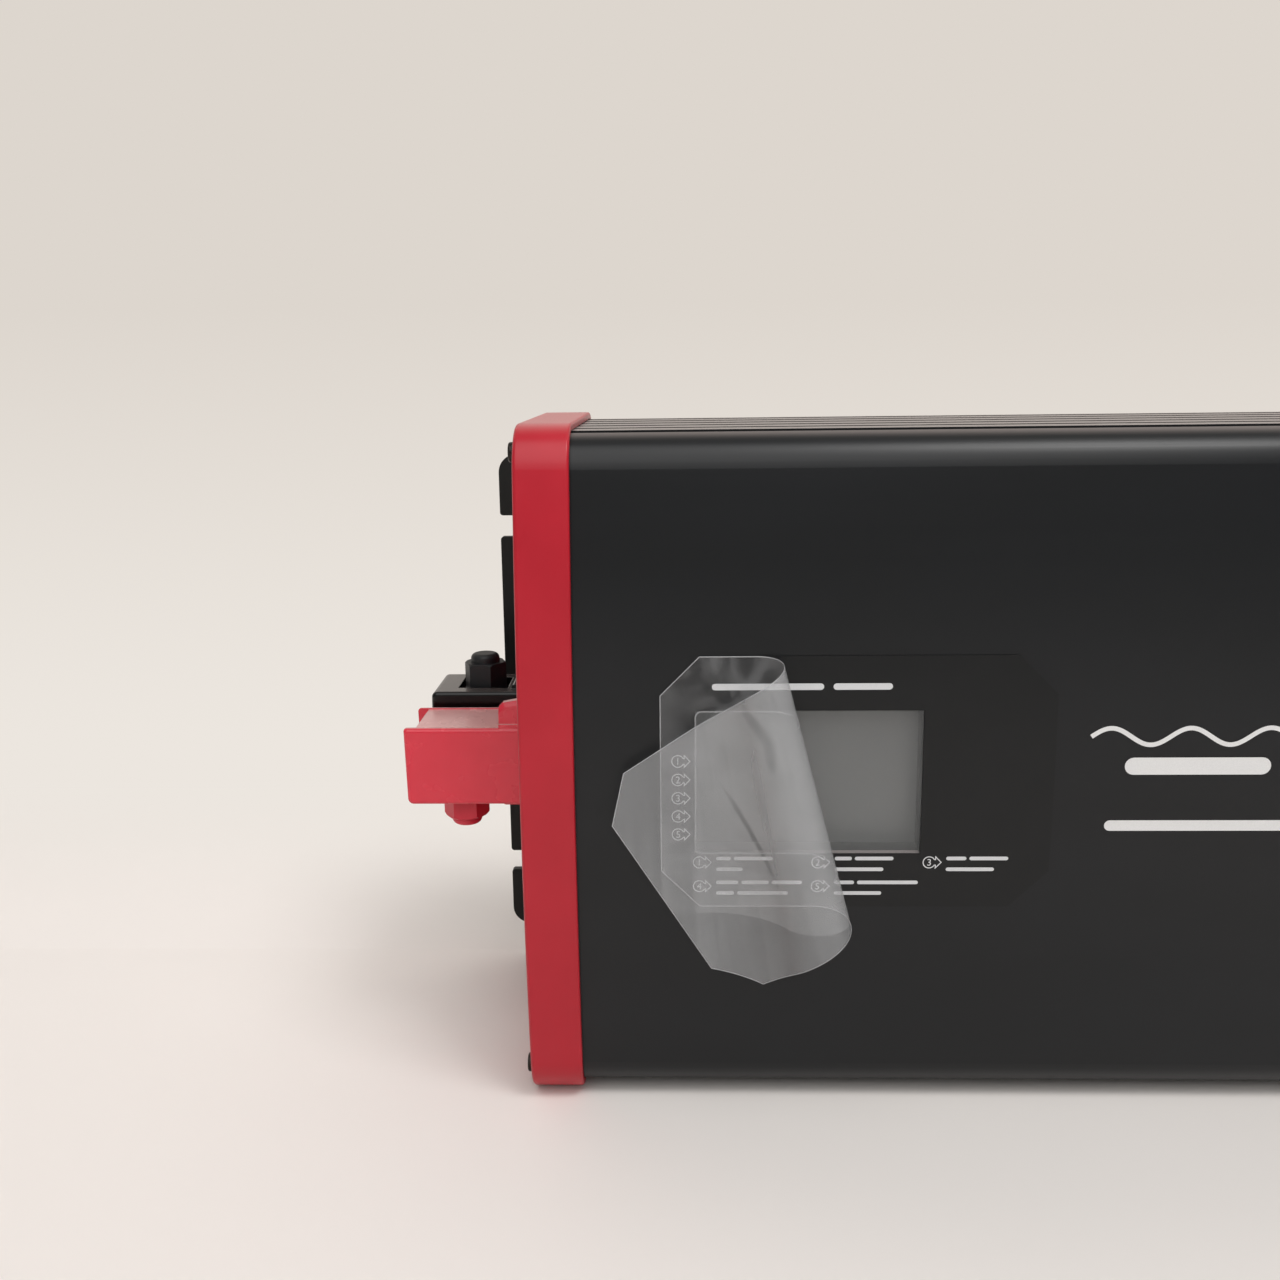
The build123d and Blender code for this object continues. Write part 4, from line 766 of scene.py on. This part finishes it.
def sheet_edge(tree, cut):
    """Gap in mm to the octagon's outline: the least of those to its upright, level and slanted
    sides, from the distances to its middle."""
    half = (label_size[0] / 2, label_size[1] / 2)
    across = add(tree, "VectorMath", [cut, (*half, 0)], operation="SUBTRACT").outputs["Vector"]
    across = add(tree, "VectorMath", [across], operation="ABSOLUTE").outputs["Vector"]
    xz = add(tree, "SeparateXYZ", {"Vector": across}).outputs
    sums = add(tree, "Math", [xz["X"], xz["Y"]], operation="ADD").outputs["Value"]
    gap = None
    sides = ((xz["X"], half[0], 1), (xz["Y"], half[1], 1), (sums, sum(half) - chamfer, 2**0.5))
    for value, reach, shrink in sides:
        left = add(tree, "Math", [reach, value], operation="SUBTRACT").outputs["Value"]
        left = add(tree, "Math", [left, 1000 / shrink], operation="MULTIPLY").outputs["Value"]
        if gap is not None:
            left = add(tree, "Math", [gap, left], operation="MINIMUM").outputs["Value"]
        gap = left
    return gap


def window_edge(tree, cut):
    """A thin line where the film bridges the window's edge: near zero distance to a rounded
    rectangle, which is the length of the way past a smaller one less the corner radius."""
    r = 0.002
    half = [(high - low) / 2 - r for low, high in zip(window_low, window_high)]
    middle = [(high + low) / 2 - label for low, high, label in zip(window_low, window_high, label_low)]
    middle, half = (middle[0], middle[2], 0), (half[0], half[2], 0)
    across = add(tree, "VectorMath", [cut, middle], operation="SUBTRACT").outputs["Vector"]
    across = add(tree, "VectorMath", [across], operation="ABSOLUTE").outputs["Vector"]
    past = add(tree, "VectorMath", [across, half], operation="SUBTRACT").outputs["Vector"]
    past = add(tree, "VectorMath", [past, (0, 0, 0)], operation="MAXIMUM").outputs["Vector"]
    reach = add(tree, "VectorMath", [past], operation="LENGTH").outputs["Value"]
    gap = add(tree, "Math", [reach, r], operation="SUBTRACT").outputs["Value"]
    gap = add(tree, "Math", [gap], operation="ABSOLUTE").outputs["Value"]
    return add(tree, "MapRange", [gap, 0.0001, 0.00035, 0.3, 0.0]).outputs["Result"]


def mark(tree, cut, start_mm, end_mm, width_mm):
    """1 on a lens-shaped mark between two points of the flat sheet, 0 outside it: the length of
    the place seen in the mark's own axes, whose units are half its length and half its width."""
    start, end = np.array(start_mm) / 1000, np.array(end_mm) / 1000
    middle, run = (start + end) / 2, end - start
    sockets = {
        "Vector": cut,
        "Location": (*middle, 0),
        "Rotation": (0, 0, np.arctan2(run[1], run[0])),
        "Scale": (np.linalg.norm(run) / 2, width_mm / 2000, 1),
    }
    place = add(tree, "Mapping", sockets, vector_type="TEXTURE").outputs["Vector"]
    reach = add(tree, "VectorMath", [place], operation="LENGTH").outputs["Value"]
    return add(tree, "MapRange", [reach, 0.35, 1.0, 1.0, 0.0]).outputs["Result"]


def take_over(tree, mixed):
    """Puts a mixed shader in the place of the plain one at the material's output."""
    tree.links.new(mixed.outputs["Shader"], tree.nodes["Material Output"].inputs["Surface"])


def peeled_polyester():
    """Clear polyester seen at a slant: where it clings it shows only blotches of trapped air;
    lifted, its back scatters a grey haze, thicker at a slant and streaked along the roll, with dark
    creases, and its cut edge catches the light. It looks milkier where it lies on the clinging part.
    Most light still goes through to what it covers."""
    grey = linear("#c0c1c3")
    made, tree, skin = surface("peeled_polyester", Base_Color=grey, Roughness=0.3, IOR=1.45)
    lift = add(tree, "Attribute", attribute_name="lifted").outputs["Fac"]
    cut = add(tree, "UVMap", uv_map="cut").outputs["UV"]
    rays = add(tree, "UVMap", uv_map="rays").outputs["UV"]
    air = {"Vector": cut, "Scale": 55.0, "Detail": 2.5, "Distortion": 0.8}
    blotch = add(tree, "TexNoise", air).outputs["Fac"]
    slow = add(tree, "TexNoise", {"Vector": cut, "Scale": 28.0, "Detail": 1.0}).outputs["Fac"]
    long = add(tree, "Mapping", {"Vector": rays, "Scale": (160, 9, 1)}).outputs["Vector"]
    streak = add(tree, "TexNoise", {"Vector": long, "Scale": 1.0, "Detail": 2.0}).outputs["Fac"]
    cling = add(tree, "MapRange", [blotch, 0.42, 0.6, 0.03, 0.12]).outputs["Result"]
    free = add(tree, "MapRange", [slow, 0.35, 0.65, 0.18, 0.22]).outputs["Result"]
    streaks = add(tree, "MapRange", [streak, 0.35, 0.65, 0.93, 1.09]).outputs["Result"]
    free = add(tree, "Math", [free, streaks], operation="MULTIPLY").outputs["Value"]
    slant = add(tree, "LayerWeight", {"Blend": 0.5}).outputs["Facing"]
    place = add(tree, "SeparateXYZ", {"Vector": add(tree, "TexCoord").outputs["Object"]}).outputs
    x, z = place["X"], place["Z"]
    window_x, label_z = window_low[0], label_low[2]
    over_label = add(tree, "MapRange", [x, label_x, label_x + 0.0003, 0.0, 0.03]).outputs["Result"]
    window_span = [x, window_x - 0.001, window_x + 0.001, 0.0, 0.06]
    over_window = add(tree, "MapRange", window_span).outputs["Result"]
    milky = add(tree, "Math", [over_label, over_window], operation="ADD").outputs["Value"]
    milky = add(tree, "Math", [slant, 0.15, milky], operation="MULTIPLY_ADD").outputs["Value"]
    above = add(tree, "MapRange", [z, label_z, label_z + 0.0003, 0.2, 1.0]).outputs["Result"]
    free = add(tree, "Math", [milky, above, free], operation="MULTIPLY_ADD").outputs["Value"]
    creases = (
        ((84.6, 62.0), (82.8, 24.0), 2.8, 0.55),
        ((63.3, 80.0), (60.0, 63.0), 5.5, 0.5),
        ((60.0, 68.5), (64.5, 56.0), 4.5, 0.4),
    )
    for start, end, width, depth in creases:
        inside = mark(tree, cut, start, end, width)
        shade = add(tree, "Math", [inside, -depth, 1.0], operation="MULTIPLY_ADD").outputs["Value"]
        free = add(tree, "Math", [free, shade], operation="MULTIPLY").outputs["Value"]
    cling = add(tree, "Math", [cling, window_edge(tree, cut)], operation="ADD").outputs["Value"]
    haze = add(tree, "Mix", {"Factor": lift, "A": cling, "B": free}).outputs["Result"]
    rim = add(tree, "MapRange", [sheet_edge(tree, cut), 0.12, 0.4, 0.6, 0.0]).outputs["Result"]
    haze = add(tree, "Math", [haze, rim], operation="MAXIMUM").outputs["Value"]
    shadow = add(tree, "LightPath").outputs["Is Shadow Ray"]
    passes = add(tree, "Math", [shadow, -0.8, 1.0], operation="MULTIPLY_ADD").outputs["Value"]
    haze = add(tree, "Math", [haze, passes], operation="MULTIPLY").outputs["Value"]
    clear = add(tree, "BsdfTransparent")
    take_over(tree, add(tree, "MixShader", [haze, clear.outputs["BSDF"], skin.outputs["BSDF"]]))
    return made


label_size = [label_high[0] - label_low[0], label_high[2] - label_low[2]]
film_points, film_faces, film_lifted, film_cut, film_rays_at = film_sheet()
film_mesh = bpy.data.meshes.new("peeled_film")
film_mesh.from_pydata(film_points.tolist(), [], film_faces.tolist())
film_mesh.materials.append(peeled_polyester())
film_mesh.attributes.new("lifted", "FLOAT", "POINT").data.foreach_set("value", film_lifted)
corner_points = np.empty(len(film_mesh.loops), int)
film_mesh.loops.foreach_get("vertex_index", corner_points)
for layer, places in (("cut", film_cut), ("rays", film_rays_at)):
    film_mesh.uv_layers.new(name=layer).data.foreach_set("uv", places[corner_points].ravel())
film_mesh.shade_smooth()
film = bpy.data.objects.new("peeled_film", film_mesh)
bpy.context.collection.objects.link(film)
film_wall = film.modifiers.new("thickness", "SOLIDIFY")
film_wall.thickness = film_t
film_wall.offset = 0
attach(film, "inverter")
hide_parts("protective_film")


# Floor and backdrop
# A sheet of paper on the bench under the unit and a second behind it, which rises to a wall far
# back. They are stage, not part of the object, and show only their front.


def paper_sweep():
    """Profile carried along X: flat floor with a shallow joint just behind the unit, a quarter
    circle, then an upright wall."""
    reach, top, joint, sink = 4.0, 3.0, cap_high[1], 0.0005
    bend_y, r = 0.35, 0.2
    below = 0.0001  # a tenth of a millimetre under the unit
    turn = np.linspace(0, np.pi / 2, 17)
    near = np.array([[-reach, 0], [-1.0, 0], [-0.3, 0], [joint - 0.004, 0]])
    sunk = np.array([[joint, -sink], [joint + 0.003, -sink]])
    far = np.array([[joint + 0.008, 0], [bend_y - 0.05, 0]])
    bend = np.stack([bend_y + r * np.sin(turn), r - r * np.cos(turn)], 1)
    wall = np.array([[bend_y + r, 0.5], [bend_y + r, 1.5], [bend_y + r, top]])
    profile = np.vstack([near, sunk, far, bend, wall])
    x = np.linspace(-reach, reach, 17)
    y, z = np.tile(profile, (len(x), 1)).T
    points = np.stack([np.repeat(x, len(profile)), y, z - below], 1)
    i, j = np.meshgrid(np.arange(len(x) - 1), np.arange(len(profile) - 1), indexing="ij")
    first = (i * len(profile) + j).ravel()
    faces = np.stack([first, first + len(profile), first + len(profile) + 1, first + 1], 1)
    mesh = bpy.data.meshes.new("paper_sweep")
    mesh.from_pydata(points.tolist(), [], faces.tolist())
    mesh.shade_smooth()
    return mesh


def warm_white_paper():
    """Matt paper. Round the unit it is lit and shadowed; from there back and far out, the camera,
    mirrors and glass see its own even colour, a little dimmer higher up. Its back is not seen."""
    made, tree, shader = surface("warm_white_paper", Roughness=0.6, Specular_IOR_Level=0.3)
    feed(tree, shader, Base_Color=tint(tree, grain(tree, 500), "#e9e4e0", "#eee9e5"))
    spot = add(tree, "TexCoord").outputs["Object"]
    place = add(tree, "SeparateXYZ", [spot]).outputs
    span = [place["Y"], 0.1, 0.28]
    back = add(tree, "MapRange", span, interpolation_type="SMOOTHSTEP").outputs["Result"]
    way = add(tree, "VectorMath", [spot], operation="LENGTH").outputs["Value"]
    far = add(tree, "MapRange", [way, 0.8, 1.6, 0.0, 1.0]).outputs["Result"]
    back = add(tree, "Math", [back, far], operation="MAXIMUM").outputs["Value"]
    rise = add(tree, "MapRange", [place["Z"], 0.0, 0.28, 0.0, 1.0]).outputs["Result"]
    height = add(tree, "ValToRGB", [rise])
    for k, colour in enumerate(("#ece6df", "#ddd6ce")):
        height.color_ramp.elements[k].color = linear(colour)
    path = add(tree, "LightPath").outputs
    rays = [path["Is Camera Ray"], path["Is Glossy Ray"]]
    seen = add(tree, "Math", rays, operation="MAXIMUM").outputs["Value"]
    seen = add(tree, "Math", [seen, path["Is Transmission Ray"]], operation="MAXIMUM").outputs["Value"]
    even = add(tree, "Math", [seen, back], operation="MULTIPLY").outputs["Value"]
    glow = add(tree, "Emission", {"Color": height.outputs["Color"], "Strength": 1.0})
    front = add(tree, "MixShader", [even, shader.outputs["BSDF"], glow.outputs["Emission"]])
    behind = add(tree, "NewGeometry").outputs["Backfacing"]
    clear = add(tree, "BsdfTransparent")
    take_over(tree, add(tree, "MixShader", [behind, front.outputs["Shader"], clear.outputs["BSDF"]]))
    return made


sweep_mesh = paper_sweep()
sweep_mesh.materials.append(warm_white_paper())
sweep = bpy.data.objects.new("paper_sweep", sweep_mesh)
bpy.context.collection.objects.link(sweep)


# Light and camera
# One soft lamp high up in front and to the right, a broad one in front that stands for a pale
# ceiling, and a dim room. The camera stands where the photograph's perspective puts it.


def soft_lamp(name, place, target, size, power):
    """A square area lamp at a place, facing a target."""
    data = bpy.data.lights.new(name, "AREA")
    data.shape, data.size, data.energy = "SQUARE", size, power
    data.color = (1.0, 0.993, 0.985)
    lamp = bpy.data.objects.new(name, data)
    lamp.location = place
    lamp.rotation_mode = "QUATERNION"
    lamp.rotation_quaternion = (Vector(target) - Vector(place)).to_track_quat("-Z", "Y")
    bpy.context.collection.objects.link(lamp)


soft_lamp("key_lamp", (0.66, -0.79, 2.05), (0, 0, 0.11), 0.7, 15)
soft_lamp("ceiling_lamp", (-0.1, -1.5, 2.0), (0, 0, 0.1), 2.6, 42)

world = bpy.data.worlds.new("pale_room")
world.use_nodes = True
room = world.node_tree
room.nodes.clear()
seen = add(room, "LightPath").outputs["Is Camera Ray"]
dim = add(room, "Background", {"Color": linear("#faf8f5"), "Strength": 0.26})
pale = add(room, "Background", {"Color": linear("#ddd8d0"), "Strength": 1.0})
both = add(room, "MixShader", [seen, dim.outputs["Background"], pale.outputs["Background"]])
room_out = add(room, "OutputWorld")
room.links.new(both.outputs["Shader"], room_out.inputs["Surface"])
bpy.context.scene.world = world
bpy.context.scene.view_settings.view_transform = "Standard"

image_side = 1280
focal_px = 1290.3
pitch, yaw, tilt = np.radians(12.161), np.radians(-1.774), np.radians(-0.685)
eye = Vector((cap_low[0] + 0.0493, cap_low[1] - 0.3754, 0.2378))
ahead = Vector((np.sin(yaw) * np.cos(pitch), np.cos(yaw) * np.cos(pitch), -np.sin(pitch)))
across = Vector((np.cos(yaw), -np.sin(yaw), 0))
upward = across.cross(ahead)
camera_data = bpy.data.cameras.new("camera")
camera_data.sensor_width = 36
camera_data.lens = 36 * focal_px / image_side
camera_data.clip_start, camera_data.clip_end = 0.01, 20
camera = bpy.data.objects.new("camera", camera_data)
right = np.cos(tilt) * across + np.sin(tilt) * upward
top = -np.sin(tilt) * across + np.cos(tilt) * upward
turn = Matrix((right, top, -ahead)).transposed()
camera.matrix_world = Matrix.Translation(eye) @ turn.to_4x4()
bpy.context.collection.objects.link(camera)
bpy.context.scene.camera = camera
